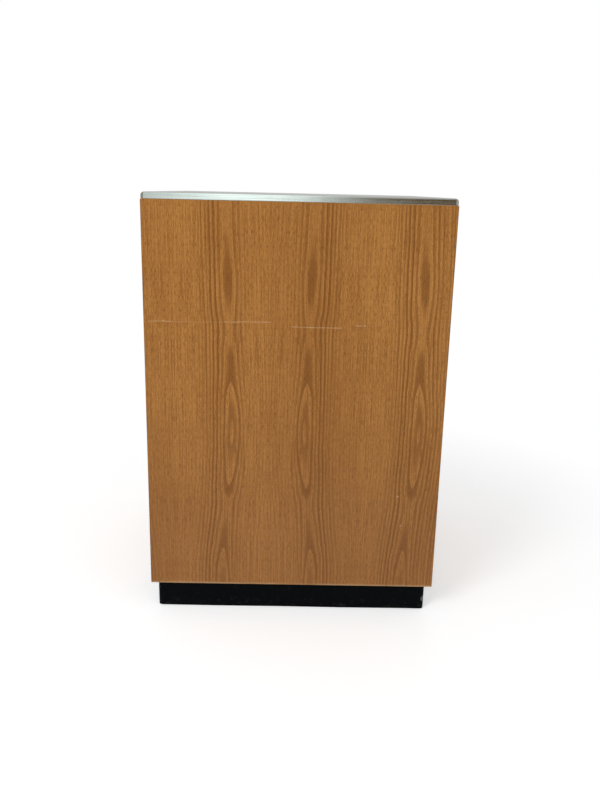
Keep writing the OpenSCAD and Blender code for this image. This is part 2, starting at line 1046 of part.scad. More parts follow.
module magnet_catch() {
    color(nylon)
        difference() {
            block_at(catch_x - catch_w / 2, catch_x + catch_w / 2, catch_y0, catch_y1, deck_z,
                deck_z + catch_h);
            inner_screw_shanks();
        }
}

module catch_plate() {
    color(zinc)
        block_at(catch_x - catch_w / 2, catch_x + catch_w / 2, panel_back,
            panel_back + catch_plate_t, deck_z, deck_z + catch_h);
}

// ---------- lift platform ----------

module guide_rails() {
    color(alloy)
        difference() {
            for (s = [0, 1], y = rail_y)
                mirror([s, 0, 0])
                    difference() {
                        block_at(rail_x, in_w, y - rail_w / 2, y + rail_w / 2, rail_z0, rail_z1);
                        block_at(rail_x - 1, in_w - rail_wall, y - rail_w / 2 + rail_wall,
                            y + rail_w / 2 - rail_wall, rail_z0 - 1, rail_z1 + 1);
                    }
            at_rail_screws()
                sink_cone(wood_screw_r, csk_head_r, rail_wall);
        }
}

module rail_screws() {
    color(zinc)
        at_rail_screws()
            csk_screw(wood_screw_r, csk_head_r, rail_wall, inner_screw_l);
}

module rail_stops() {
    color(black_rubber)
        for (s = [0, 1], y = rail_y)
            mirror([s, 0, 0])
                block_at(rail_x, in_w - rail_wall, y - rail_w / 2 + rail_wall,
                    y + rail_w / 2 - rail_wall, rail_stop_z, rail_stop_z + rail_stop_h);
}

module spring_seat() {
    cylinder(r = seat_r, h = seat_t);
    cylinder(r = seat_boss_r, h = seat_t + seat_boss_h);
}

module spring_seats_lower() {
    color(nylon)
        for (s = [-1, 1], y = spring_y)
            translate([s * spring_x, y, deck_z])
                spring_seat();
}

module spring_seats_upper() {
    color(nylon)
        for (s = [-1, 1], y = spring_y)
            translate([s * spring_x, y, board_z0])
                mirror([0, 0, 1])
                    spring_seat();
}

// Height along the coil: a flat turn at each end and an even pitch between them
function coil_z(t) =
    let (live = spring_turns - 2 * dead_turns, low = spring_z0 + wire_r, high = spring_z1 - wire_r,
         end = 2 * wire_r + 0.4, u = (t - dead_turns) / live)
    t < dead_turns ? low + end * t / dead_turns
    : t > spring_turns - dead_turns ? high - end * (spring_turns - t) / dead_turns
    : low + end + (high - low - 2 * end) * u;

// A wire wound round an upright axis, closed at both ends
module lift_spring(x, y) {
    steps = spring_turns * turn_steps;
    rings = [
        for (i = [0:steps], k = [0:wire_sides - 1])
            let (t = i / turn_steps, a = 360 * t, b = 360 * k / wire_sides,
                 r = spring_r + wire_r * cos(b))
            [x + r * cos(a), y + r * sin(a), coil_z(t) + wire_r * sin(b)]
    ];
    skin = [
        for (i = [0:steps - 1], k = [0:wire_sides - 1])
            let (n = (k + 1) % wire_sides, p = i * wire_sides, q = p + wire_sides)
            [p + k, p + n, q + n, q + k]
    ];
    start = [for (k = [0:wire_sides - 1]) wire_sides - 1 - k];
    finish = [for (k = [0:wire_sides - 1]) steps * wire_sides + k];
    polyhedron(points = rings, faces = concat(skin, [start, finish]), convexity = 4);
}

module spring_front_left() {
    color(zinc)
        lift_spring(-spring_x, spring_y[0]);
}

module spring_front_right() {
    color(zinc)
        lift_spring(spring_x, spring_y[0]);
}

module spring_rear_left() {
    color(zinc)
        lift_spring(-spring_x, spring_y[1]);
}

module spring_rear_right() {
    color(zinc)
        lift_spring(spring_x, spring_y[1]);
}

module platform_board() {
    color(ply)
        difference() {
            block_at(-board_hw, board_hw, board_y_front, board_y_back, board_z0, board_z1);
            shoe_screw_shanks();
        }
}

module platform_mat() {
    mid_y = (board_y_front + board_y_back) / 2;
    color(mat_grey)
        translate([0, mid_y, board_z1])
            linear_extrude(height = mat_t)
                round_rect(2 * board_hw - 8, board_y_back - board_y_front - 8, 12);
}

module guide_shoes() {
    color(nylon)
        difference() {
            for (s = [0, 1], y = rail_y)
                mirror([s, 0, 0])
                    block_at(board_hw, shoe_x1, y - shoe_w / 2, y + shoe_w / 2, shoe_z0, shoe_z1);
            shoe_screw_shanks();
        }
}

// An angle under the board that carries each shoe
module shoe_brackets() {
    color(zinc)
        difference() {
            for (s = [0, 1], y = rail_y)
                mirror([s, 0, 0]) {
                    block_at(board_hw - shoe_bracket_in, board_hw, y - rail_w, y + rail_w,
                        board_z0 - shoe_bracket_t, board_z0);
                    block_at(board_hw - shoe_bracket_t, board_hw, y - rail_w, y + rail_w,
                        board_z0 - shoe_bracket_down, board_z0);
                }
            shoe_screw_shanks();
        }
}

module at_shoe_screws() {
    for (s = [0, 1], y = rail_y)
        mirror([s, 0, 0]) {
            for (e = [-1, 1])
                translate([board_hw - shoe_bracket_in * 0.55, y + e * rail_w * 0.6,
                    board_z0 - shoe_bracket_t])
                    rotate([180, 0, 0])
                        children();
            for (z = [0.45, 0.8])
                translate([board_hw - shoe_bracket_t, y, board_z0 - shoe_bracket_down * z])
                    rotate([0, -90, 0])
                        children();
        }
}

module shoe_screw_shanks() {
    at_shoe_screws()
        translate([0, 0, -shoe_screw_l])
            cylinder(r = shoe_screw_r, h = shoe_screw_l + 1);
}

module shoe_screws() {
    color(zinc)
        at_shoe_screws()
            pan_screw(shoe_screw_r, wood_head_r, wood_head_h, shoe_screw_l);
}

// ---------- what is drawn ----------

side_panel_left();
side_panel_right();
front_edge_bands();
back_panel();
back_edge_bands();
front_panel();
deck_panel();
top_core();
steel_top();
top_cleats();
top_screws();
corner_strips();
plinth_front();
plinth_back();
plinth_sides();
plinth_blocks();
leveling_feet();
base_strip();
slot_bezel();
flush_screws();
flap_rod();
rod_brackets();
flap_bumpers();
flap_plate();
chute();
inner_screws();
lock_strike();
door_stop();
door_bumpers();
hinge_leaves_side();
hinge_leaves_door();
hinge_pins();
hinge_screws_side();
hinge_screws_door();
door_panel();
door_edge_bands();
door_pull();
pull_screws();
lock_body();
lock_nut();
lock_plug();
lock_cam();
cam_screw();
magnet_catch();
catch_plate();
guide_rails();
rail_screws();
rail_stops();
spring_seats_lower();
spring_front_left();
spring_front_right();
spring_rear_left();
spring_rear_right();
platform_board();
platform_mat();
guide_shoes();
shoe_brackets();
shoe_screws();
spring_seats_upper();
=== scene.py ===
"""Finishes and stage for a book drop box: an oak-veneered cabinet with a folded steel top."""

import json
import math

import bmesh
import bpy
from bpy.props import FloatProperty, FloatVectorProperty, IntProperty, PointerProperty
from mathutils import Matrix, Vector


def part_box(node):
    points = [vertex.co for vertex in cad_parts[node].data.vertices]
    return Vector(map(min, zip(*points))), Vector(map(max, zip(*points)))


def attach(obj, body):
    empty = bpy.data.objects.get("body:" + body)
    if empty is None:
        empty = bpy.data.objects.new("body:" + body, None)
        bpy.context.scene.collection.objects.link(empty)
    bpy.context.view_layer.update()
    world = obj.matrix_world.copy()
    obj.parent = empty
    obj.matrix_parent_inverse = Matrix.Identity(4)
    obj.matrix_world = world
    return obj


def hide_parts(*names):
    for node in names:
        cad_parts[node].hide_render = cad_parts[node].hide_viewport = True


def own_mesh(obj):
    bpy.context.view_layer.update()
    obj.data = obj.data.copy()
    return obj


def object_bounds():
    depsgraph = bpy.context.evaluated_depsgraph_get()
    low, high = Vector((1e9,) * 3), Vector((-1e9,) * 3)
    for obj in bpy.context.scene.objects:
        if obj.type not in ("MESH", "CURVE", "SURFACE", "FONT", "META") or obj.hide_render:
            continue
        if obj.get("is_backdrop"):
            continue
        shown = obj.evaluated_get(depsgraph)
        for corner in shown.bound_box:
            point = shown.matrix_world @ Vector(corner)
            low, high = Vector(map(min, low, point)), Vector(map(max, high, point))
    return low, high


bl_info = {
    "name": "Book drop box",
    "version": (1, 0, 0),
    "blender": (4, 5, 0),
    "location": "3D View > Sidebar > Book drop",
    "description": "Builds the finished pieces, veneers and metals of a book drop box",
    "category": "Object",
}

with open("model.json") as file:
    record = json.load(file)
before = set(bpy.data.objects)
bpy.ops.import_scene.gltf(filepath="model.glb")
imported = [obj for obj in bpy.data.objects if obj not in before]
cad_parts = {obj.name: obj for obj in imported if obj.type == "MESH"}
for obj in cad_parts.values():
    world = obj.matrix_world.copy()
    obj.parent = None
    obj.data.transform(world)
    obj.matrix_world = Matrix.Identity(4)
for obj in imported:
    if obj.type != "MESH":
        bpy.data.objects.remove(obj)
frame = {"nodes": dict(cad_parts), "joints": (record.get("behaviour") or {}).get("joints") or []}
CAD_LOW, CAD_HIGH = (Vector(corner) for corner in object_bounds())
BACK_LOW, BACK_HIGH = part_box("back_edge_bands")
FACE_HEIGHT = BACK_HIGH.z - BACK_LOW.z
HAIR = 1e-5  # two places closer than this are the same place
SPRINGS = ["spring_front_left", "spring_front_right", "spring_rear_left", "spring_rear_right"]


def tone(red, green, blue):
    """A display colour, 0 to 255, as the linear colour that the shaders use."""

    def channel(value):
        value /= 255
        return value / 12.92 if value <= 0.04045 else ((value + 0.055) / 1.055) ** 2.4

    return (channel(red), channel(green), channel(blue))


# ---------- settings ----------


def colour_setting(name, description, *shown):
    """A colour whose default is given as it is displayed, 0 to 255."""
    return FloatVectorProperty(
        name=name, description=description, default=tone(*shown), min=0, max=1, subtype="COLOR"
    )


def number_setting(name, description, default, unit="NONE"):
    return FloatProperty(name=name, description=description, default=default, min=0, unit=unit)


def length_setting(name, description, default):
    return FloatProperty(
        name=name, description=description, default=default, unit="LENGTH", precision=4
    )


class BookDropVeneer(bpy.types.PropertyGroup):
    """Sizes and colours of the oak veneer and its bands"""

    leaf: length_setting("Leaf width", "Width of one veneer leaf", 0.199)
    seam: length_setting("Seam", "Where a mirrored seam stands on the back panel", 0.057)
    ring: length_setting("Ring spacing", "Distance between growth rings in the log", 0.007)
    light: colour_setting("Light wood", "Colour between the grain lines", 203, 141, 70)
    middle: colour_setting("Middle wood", "Main colour of the veneer", 173, 112, 46)
    dark: colour_setting("Dark grain", "Colour of the grain bands", 128, 74, 14)
    pore: colour_setting("Pores", "Colour of the open pores", 94, 53, 14)
    band: colour_setting("Edge band", "Colour of the edge bands", 150, 98, 42)
    ease: length_setting("Eased edge", "Radius worked on the edge bands", 0.0007)


class BookDropMetal(bpy.types.PropertyGroup):
    """Sizes and colours of the metal parts"""

    top: colour_setting("Top", "Colour of the brushed top", 232, 237, 236)
    trim: colour_setting("Trim", "Colour of the bezel, flap and pull", 206, 208, 208)
    plate: colour_setting("Plate", "Colour of the plated fittings", 196, 197, 199)
    alloy: colour_setting("Rails", "Colour of the guide rails", 205, 207, 210)
    spring: colour_setting("Springs", "Colour of the spring wire", 128, 130, 134)
    paint: colour_setting("Chute", "Colour of the chute's coating", 120, 123, 125)
    fold: length_setting("Fold radius", "Outside radius of the top's folds", 0.007)
    sheet: length_setting("Sheet", "Thickness of the folded steel", 0.0012)
    wire: length_setting("Wire", "Radius of the spring wire", 0.002)
    turns: IntProperty(name="Turns", description="Turns of a spring", default=13, min=4, max=40)


class BookDropSoft(bpy.types.PropertyGroup):
    """Sizes and colours of the vinyl, rubber and nylon parts"""

    vinyl: colour_setting("Base strip", "Colour of the vinyl base", 2, 5, 7)
    scuff: colour_setting("Scuffs", "Colour of scuffed vinyl", 120, 120, 116)
    rubber: colour_setting("Rubber", "Colour of the bumpers", 30, 30, 31)
    nylon: colour_setting("Nylon", "Colour of the shoes and seats", 222, 219, 208)
    mat: colour_setting("Mat", "Colour of the platform's ribbed mat", 52, 54, 58)
    corner: length_setting("Base corner", "Corner radius of the base strip", 0.009)
    wall: length_setting("Base thickness", "Thickness of the base strip", 0.003)
    rib_pitch: length_setting("Rib pitch", "Distance between the mat's ribs", 0.011)
    rib: length_setting("Rib height", "Height of the mat's ribs", 0.0025)


class BookDropStage(bpy.types.PropertyGroup):
    """The floor, lights and camera"""

    floor: colour_setting("Floor", "Colour of the floor", 243, 245, 247)
    key: number_setting("Key light", "Strength of the key light", 49)
    fill: number_setting("Fill light", "Strength of the fill light", 6)
    lens: number_setting("Lens", "Focal length", 33.57, "CAMERA")
    distance: length_setting("Distance", "Camera's distance from the plain face", 1.510)
    height: length_setting("Height", "Camera's height above the floor", 0.9246)


# ---------- node helpers ----------


class Value:
    """What a node gives out; sums and products of it become nodes."""

    def __init__(self, graph, socket):
        self.graph, self.socket = graph, socket

    def __add__(self, other):
        return self.graph.math("ADD", self, other)

    def __radd__(self, other):
        return self.graph.math("ADD", other, self)

    def __sub__(self, other):
        return self.graph.math("SUBTRACT", self, other)

    def __rsub__(self, other):
        return self.graph.math("SUBTRACT", other, self)

    def __mul__(self, other):
        return self.graph.math("MULTIPLY", self, other)

    def __truediv__(self, other):
        return self.graph.math("DIVIDE", self, other)


class Graph:
    """Adds nodes to one node tree and links them in a short form."""

    def __init__(self, tree):
        self.tree = tree

    def node(self, kind, **settings):
        made = self.tree.nodes.new(kind)
        for key, value in settings.items():
            setattr(made, key, value)
        made.location = (len(self.tree.nodes) * 180, 0)
        return made

    def values(self, node):
        """A node's outputs by name."""
        return {socket.name: Value(self, socket) for socket in node.outputs}

    def feed(self, socket, value):
        value = value.socket if isinstance(value, Value) else value
        if isinstance(value, bpy.types.NodeSocket):
            self.tree.links.new(value, socket)
        elif value is not None:
            if socket.type == "RGBA" and len(value) == 3:
                value = (*value, 1.0)
            socket.default_value = value

    def math(self, operation, *values, clamp=False):
        made = self.node("ShaderNodeMath", operation=operation, use_clamp=clamp)
        for socket, value in zip(made.inputs, values):
            self.feed(socket, value)
        return Value(self, made.outputs[0])

    def point(self, x, y, z):
        made = self.node("ShaderNodeCombineXYZ")
        for socket, value in zip(made.inputs, (x, y, z)):
            self.feed(socket, value)
        return made.outputs[0]

    def parts(self, vector):
        made = self.node("ShaderNodeSeparateXYZ")
        self.feed(made.inputs[0], vector)
        return list(self.values(made).values())

    def noise(self, vector, scale, detail=2.0, roughness=0.5, distortion=0.0):
        made = self.node("ShaderNodeTexNoise")
        self.feed(made.inputs["Vector"], vector)
        shape = {"Scale": scale, "Detail": detail, "Roughness": roughness, "Distortion": distortion}
        for key, value in shape.items():
            self.feed(made.inputs[key], value)
        return self.values(made)["Fac"]

    def grain(self, ways, detail, roughness=0.5, distortion=0.0):
        """Noise stretched by axis; each way is a value, or a value and its scale."""
        ways = [way[0] * way[1] if isinstance(way, tuple) else way for way in ways]
        return self.noise(self.point(*ways), 1.0, detail, roughness, distortion)

    def smooth(self, value, low, high, start=0.0, end=1.0):
        made = self.node("ShaderNodeMapRange", interpolation_type="SMOOTHSTEP")
        for socket, given in zip(made.inputs, (value, low, high, start, end)):
            self.feed(socket, given)
        return Value(self, made.outputs[0])

    def curve(self, value, points):
        made = self.node("ShaderNodeFloatCurve")
        line = made.mapping.curves[0]
        while len(line.points) < len(points):
            line.points.new(0.5, 0.5)
        for handle, place in zip(line.points, points):
            handle.location = place
        made.mapping.update()
        self.feed(made.inputs["Value"], value)
        return Value(self, made.outputs[0])

    def ramp(self, value, stops):
        made = self.node("ShaderNodeValToRGB")
        made.color_ramp.interpolation = "EASE"
        while len(made.color_ramp.elements) < len(stops):
            made.color_ramp.elements.new(0.5)
        for element, (place, level) in zip(made.color_ramp.elements, stops):
            element.position = place
            element.color = (level, level, level, 1)
        self.feed(made.inputs[0], value)
        return Value(self, made.outputs[0])

    def mix(self, factor, first, second):
        made = self.node("ShaderNodeMix", data_type="RGBA")
        for socket, value in ((0, factor), (6, first), (7, second)):
            self.feed(made.inputs[socket], value)
        return made.outputs[2]

    def bump(self, height, strength, distance):
        made = self.node("ShaderNodeBump")
        for key, value in {"Strength": strength, "Distance": distance, "Height": height}.items():
            self.feed(made.inputs[key], value)
        return made.outputs["Normal"]

    def lay(self, shader, colour, rough, relief):
        """Feeds a finish: its colour, its roughness or None, and its relief as for bump."""
        self.feed(shader["Base Color"], colour)
        self.feed(shader["Roughness"], rough)
        self.feed(shader["Normal"], self.bump(*relief))

    def place(self):
        return self.node("ShaderNodeTexCoord").outputs["Object"]

    def group(self, name, **inputs):
        made = self.node("ShaderNodeGroup", node_tree=bpy.data.node_groups[name])
        for key, value in inputs.items():
            self.feed(made.inputs[key], value)
        return self.values(made)


def node_group(name, inputs, outputs):
    """An empty shader group. An input whose default is None is a vector, others are numbers."""
    tree = bpy.data.node_groups.new(name, "ShaderNodeTree")
    for label, default in inputs.items():
        kind = "NodeSocketVector" if default is None else "NodeSocketFloat"
        socket = tree.interface.new_socket(label, in_out="INPUT", socket_type=kind)
        if default is not None:
            socket.default_value = default
    for label in outputs:
        tree.interface.new_socket(label, in_out="OUTPUT", socket_type="NodeSocketFloat")
    graph = Graph(tree)
    given = graph.values(graph.node("NodeGroupInput"))
    result = graph.node("NodeGroupOutput").inputs
    return graph, given, result


# ---------- shared effects ----------


def oak_leaves_group():
    """Plain-sliced oak in mirrored leaves: each shows the log's rings as arches and an eye."""
    graph, given, result = node_group(
        "Oak leaves",
        dict(Across=0.0, Along=0.0, Seam=0.0, Leaf=0.2, Ring=0.007, Seed=0.0),
        ["Grain", "Fibre", "Pores", "Drift", "Leaf tone"],
    )
    from_seam = given["Across"] - given["Seam"]
    a = graph.math("PINGPONG", from_seam, given["Leaf"])
    leaf_number = graph.math("FLOOR", from_seam / given["Leaf"])
    s = given["Along"]
    seed = given["Seed"]
    own = leaf_number * 0.37 + seed
    wander = graph.grain([(a, 5), (s, 2.6), own], 2)
    shiver = graph.grain([(a, 45), (s, 14), own], 3)
    centre = graph.curve(
        s,
        [
            (0, 0.447), (0.27, 0.417), (0.45, 0.40), (0.58, 0.387),
            (0.72, 0.417), (0.91, 0.482), (1, 0.49),
        ],
    )
    depth = graph.curve(
        s,
        [
            (0, 0.42), (0.10, 0.406), (0.19, 0.37), (0.26, 0.41), (0.31, 0.456), (0.36, 0.40),
            (0.44, 0.346), (0.50, 0.25), (0.57, 0.19), (0.64, 0.25), (0.72, 0.35), (0.78, 0.43),
            (0.84, 0.40), (0.92, 0.31), (1, 0.22),
        ],
    )
    aside = a - centre * given["Leaf"]
    aside = aside + (wander - 0.5) * 0.010
    aside = aside + (shiver - 0.5) * 0.003
    deep = depth * 0.05 + (shiver - 0.5) * 0.002
    radius = graph.math("SQRT", aside * aside + deep * deep)
    uneven = graph.grain([(radius, 60), seed, (s, 0.4)], 2)
    rings = (radius - 0.017) / given["Ring"]
    rings = rings + (uneven - 0.5) * graph.smooth(radius, 0.02, 0.05, 0.0, 1.1)
    number = graph.math("FLOOR", rings)
    chance = graph.node("ShaderNodeTexWhiteNoise", noise_dimensions="1D")
    graph.feed(chance.inputs["W"], number + seed * 7.3)
    strength = graph.smooth(chance.outputs["Value"], 0.0, 1.0, 0.6, 1.0)
    band = graph.ramp(
        rings - number, [(0.0, 0.15), (0.08, 1.0), (0.36, 0.85), (0.62, 0.14), (1.0, 0.0)]
    )
    outer_side = graph.smooth(aside, 0.038, 0.070, 1.0, 0.17)
    last_leaf = graph.math("SUBTRACT", -1.0, leaf_number, clamp=True)
    faded = last_leaf * 0.45 + 0.24
    inner_side = graph.smooth(aside * -1.0, 0.014, 0.034, 1.0, faded)
    strength = strength * (outer_side * inner_side)
    fine = graph.grain([(a, 420), (s, 7), seed], 3, 0.6)
    broken = graph.grain([(a, 760), (s, 62), seed], 3, 0.65)
    soften = graph.smooth(broken, 0.34, 0.64, 0.55, 1.25)
    lines = graph.math("MULTIPLY", band * strength, soften, clamp=True)
    graph.feed(result["Grain"], lines)
    graph.feed(result["Fibre"], fine * 0.45 + broken * 0.55)
    dashes = graph.grain([(a, 900), (s, 120), seed], 2, 0.55)
    dashes = graph.smooth(dashes, 0.52, 0.65)
    open_wood = graph.smooth(band, 0.1, 0.9, 0.7, 1.0)
    graph.feed(result["Pores"], dashes * open_wood)
    drift = graph.grain([(given["Across"], 3.2), (s, 1.7), seed], 3, 0.55)
    graph.feed(result["Drift"], drift)
    graph.feed(result["Leaf tone"], graph.math("FLOORED_MODULO", leaf_number, 2.0))


def brush_group():
    """Fine parallel strokes left by a belt: long along the first way, narrow across it."""
    graph, given, result = node_group(
        "Brush strokes", dict(Along=0.0, Across=0.0, Through=0.0), ["Stroke", "Cloud"]
    )
    x, y, z = given["Along"], given["Across"], given["Through"]
    thin = graph.grain([(x, 9), (y, 2600), (z, 2600)], 2)
    wide = graph.grain([(x, 4), (y, 480), (z, 480)], 3)
    graph.feed(result["Stroke"], thin * 0.6 + wide * 0.4)
    graph.feed(result["Cloud"], graph.noise(graph.point(x, y, z), 7.0, 3, 0.6))


def worn_group():
    """Wear that starts at an edge and breaks up as it leaves it."""
    graph, given, result = node_group(
        "Worn edge", dict(Distance=0.0, Reach=0.003, Place=None), ["Mask"]
    )
    ragged = graph.noise(given["Place"], 60.0, 4, 0.65)
    pushed = given["Distance"] + (ragged - 0.5) * given["Reach"]
    near = graph.smooth(pushed / given["Reach"], 0.55, 1.0, 1.0, 0.0)
    patches = graph.smooth(graph.noise(given["Place"], 9.0, 3, 0.6), 0.36, 0.6, 0.35, 1.0)
    graph.feed(result["Mask"], near * patches)


def scratch_group():
    """One thin scratch that runs between two places and breaks up along its length."""
    graph, given, result = node_group(
        "Scratch",
        dict(Across=0.0, Up=0.0, From=0.0, To=1.0, Level=0.5, Lean=0.0, Width=0.001),
        ["Mask"],
    )
    away = given["Across"] - given["From"]
    wobble = graph.grain([(given["Across"], 30), 0.0, given["Level"]], 2)
    line = given["Level"] + away * given["Lean"]
    line = line + (wobble - 0.5) * 0.0025
    off = graph.math("ABSOLUTE", given["Up"] - line)
    core = graph.smooth(off / given["Width"], 0.35, 1.0, 1.0, 0.0)
    taper = 0.004
    start = graph.smooth(away, 0.0, taper)
    stop = graph.smooth(given["To"] - given["Across"], 0.0, taper)
    breaks = graph.grain([(given["Across"], 55), 3.0, 0.0], 3)
    gaps = graph.smooth(breaks, 0.3, 0.6, 0.35, 1.0)
    graph.feed(result["Mask"], core * gaps * (start * stop))


def mottle_group():
    """Cloudy patches and a fine tooth, for moulded, coated and plated surfaces."""
    graph, given, result = node_group(
        "Mottle", dict(Place=None, Tooth=900.0), ["Patches", "Tooth", "Dust"]
    )
    place = given["Place"]
    graph.feed(result["Patches"], graph.noise(place, 11.0, 4, 0.6))
    graph.feed(result["Tooth"], graph.noise(place, given["Tooth"]))
    graph.feed(result["Dust"], graph.smooth(graph.noise(place, 75.0, 5, 0.7), 0.52, 0.75))


def ply_group():
    """The veneers of a plywood edge, stacked through its thickness, with a rotary-cut face."""
    graph, given, result = node_group(
        "Ply",
        dict(Through=0.0, Along=0.0, Across=0.0, Layer=0.0015),
        ["Layers", "Face"],
    )
    count = given["Through"] / given["Layer"]
    stack = graph.math("PINGPONG", count, 1.0)
    graph.feed(result["Layers"], graph.smooth(stack, 0.35, 0.65))
    ways = [(given["Along"], 3), (given["Across"], 26), given["Through"]]
    graph.feed(result["Face"], graph.grain(ways, 4, 0.6, 0.6))


EFFECTS = (
    oak_leaves_group, brush_group, worn_group, scratch_group, mottle_group, ply_group,
)

# ---------- finishes ----------


def new_finish(name, colour, roughness, metallic=0.0, **sockets):
    """A material with its plain values on the Principled shader's own sockets."""
    made = bpy.data.materials.new(name)
    made.use_nodes = True
    shader = made.node_tree.nodes["Principled BSDF"]
    shader.inputs["Base Color"].default_value = (*colour, 1)
    shader.inputs["Roughness"].default_value = roughness
    shader.inputs["Metallic"].default_value = metallic
    for key, value in sockets.items():
        shader.inputs[key.replace("_", " ")].default_value = value
    return Graph(made.node_tree), shader.inputs


def oak_finish(name, veneer, across, seam, seed, start=0.0, span=1.0, marks=None):
    """Lacquered veneer; across is the world axis, 0 or 1, that its leaves are laid along."""
    graph, shader = new_finish(
        name, veneer.middle, 0.5, Coat_Weight=0.08, Coat_Roughness=0.35, Specular_IOR_Level=0.3
    )
    place = graph.place()
    axes = graph.parts(place)
    fallen = (BACK_HIGH.z - axes[2]) / FACE_HEIGHT
    fallen = fallen * span + start
    oak = graph.group(
        "Oak leaves", Across=axes[across], Along=fallen,
        Seam=seam, Leaf=veneer.leaf, Ring=veneer.ring, Seed=seed,
    )
    body = oak["Drift"] * 0.45 + oak["Fibre"] * 0.85
    colour = graph.mix(graph.smooth(body, 0.42, 0.84), veneer.middle, veneer.light)
    colour = graph.mix(graph.smooth(oak["Fibre"], 0.54, 0.37, 0.0, 0.55), colour, veneer.dark)
    colour = graph.mix(oak["Grain"] * 0.85, colour, veneer.dark)
    colour = graph.mix(oak["Leaf tone"] * 0.10, colour, veneer.dark)
    colour = graph.mix(oak["Pores"] * 0.45, colour, veneer.pore)
    height = oak["Fibre"] * 0.25 - oak["Pores"] * 0.8
    if marks:
        colour, height = marks(graph, place, axes, colour, height)
    rough = graph.smooth(oak["Grain"], 0.0, 1.0, 0.40, 0.50)
    graph.lay(shader, colour, rough, (height, 0.25, 0.0003))


def back_marks(graph, place, axes, colour, height):
    """The long scratch across the plain face, a few chips and the rubbed lower edge."""
    bare = tone(214, 178, 132)
    scratches = [  # from, to, level, lean, width, depth
        (0.255, 0.306, 0.6575, -0.010, 0.0012, 0.62),
        (0.150, 0.258, 0.6580, -0.008, 0.0009, 0.28),
        (0.052, 0.152, 0.6595, -0.010, 0.0012, 0.64),
        (-0.094, 0.015, 0.6500, 0.010, 0.0012, 0.65),
        (-0.136, -0.118, 0.6555, 0.0, 0.0016, 0.50),
    ]
    for start, end, level, lean, width, depth in scratches:
        cut = graph.group(
            "Scratch", Across=axes[0], Up=axes[2],
            From=start, To=end, Level=level, Lean=lean, Width=width,
        )["Mask"]
        colour = graph.mix(cut * depth, colour, bare)
        height = height - cut * 0.9
    chips = [  # x, z, size
        (0.274, 0.659, 0.0022),
        (-0.138, 0.6556, 0.0026),
        (-0.236, 0.212, 0.003),
        (-0.226, 0.281, 0.004),
    ]
    for x, z, size in chips:
        aside = graph.math("POWER", axes[0] - x, 2.0)
        above = graph.math("POWER", axes[2] - z, 2.0)
        from_chip = graph.math("SQRT", aside + above)
        chip = graph.smooth(from_chip / size, 0.4, 1.0, 0.6, 0.0)
        colour = graph.mix(chip, colour, bare)
    low = axes[2] - BACK_LOW.z
    worn = graph.group("Worn edge", Distance=low, Reach=0.0055, Place=place)["Mask"]
    colour = graph.mix(worn * 0.5, colour, bare)
    # darker towards the bottom: the lowest 0.7 m of the back panel fades towards a dark brown
    darker_low = graph.smooth(low, 0.0, 0.7, 0.34, 0.0)
    colour = graph.mix(darker_low, colour, tone(112, 70, 40))
    return colour, height


def band_finish(veneer):
    """Oak edge banding: fine upright streaks, rubbed pale along the lower edge."""
    graph, shader = new_finish(
        "Oak band", veneer.band, 0.45, Coat_Weight=0.2, Coat_Roughness=0.35
    )
    place = graph.place()
    axes = graph.parts(place)
    streak = graph.grain([(axes[0], 320), (axes[1], 320), (axes[2], 9)], 3, 0.6)
    colour = graph.mix(graph.smooth(streak, 0.35, 0.7), veneer.band, veneer.dark)
    low = axes[2] - BACK_LOW.z
    worn = graph.group("Worn edge", Distance=low, Reach=0.003, Place=place)["Mask"]
    colour = graph.mix(worn * 0.8, colour, tone(206, 166, 118))
    graph.lay(shader, colour, None, (streak, 0.15, 0.0002))


def ply_finish(name, through):
    """Unfinished plywood whose layers are stacked along one world axis."""
    graph, shader = new_finish(name, tone(205, 176, 132), 0.62)
    axes = graph.parts(graph.place())
    along, across = [axis for axis in range(3) if axis != through]
    ply = graph.group("Ply", Through=axes[through], Along=axes[along], Across=axes[across])
    face = graph.smooth(ply["Face"], 0.3, 0.7)
    colour = graph.mix(face, tone(214, 187, 143), tone(192, 158, 112))
    colour = graph.mix(ply["Layers"] * 0.35, colour, tone(140, 102, 64))
    graph.lay(shader, colour, None, (ply["Face"], 0.2, 0.0004))


def brushed_finish(name, colour, along, roughness, patch=0.10):
    """Brushed steel with its strokes along one world axis."""
    graph, shader = new_finish(name, colour, roughness, 1.0, Anisotropic=0.35)
    axes = graph.parts(graph.place())
    across, through = [axis for axis in range(3) if axis != along]
    brush = graph.group(
        "Brush strokes", Along=axes[along], Across=axes[across], Through=axes[through]
    )
    dull = tuple(channel * 0.72 for channel in colour)
    strokes = graph.smooth(brush["Stroke"], 0.3, 0.7, 0.0, 0.4)
    clouds = graph.smooth(brush["Cloud"], 0.4, 0.75, 0.0, 0.3)
    shade = graph.mix(strokes + clouds, colour, dull)
    rough = graph.smooth(brush["Stroke"], 0.3, 0.7, roughness - 0.07, roughness + 0.07)
    rough = rough + (brush["Cloud"] - 0.5) * patch
    height = brush["Stroke"] + brush["Cloud"] * 3.0
    graph.lay(shader, shade, rough, (height, 0.12, 0.0002))


def mottled_finish(name, colour, roughness, metallic, second, spread, tooth, bite, **sockets):
    """A plated, coated or moulded surface: a fine tooth, cloudy patches and a little dust."""
    graph, shader = new_finish(name, colour, roughness, metallic, **sockets)
    mottle = graph.group("Mottle", Place=graph.place(), Tooth=tooth)
    shade = graph.mix(graph.smooth(mottle["Patches"], 0.35, 0.7, 0.0, spread), colour, second)
    rough = (mottle["Patches"] - 0.5) * 0.2 + roughness
    rough = rough + mottle["Dust"] * 0.12
    graph.lay(shader, shade, rough, (mottle["Tooth"], bite, 0.0003))


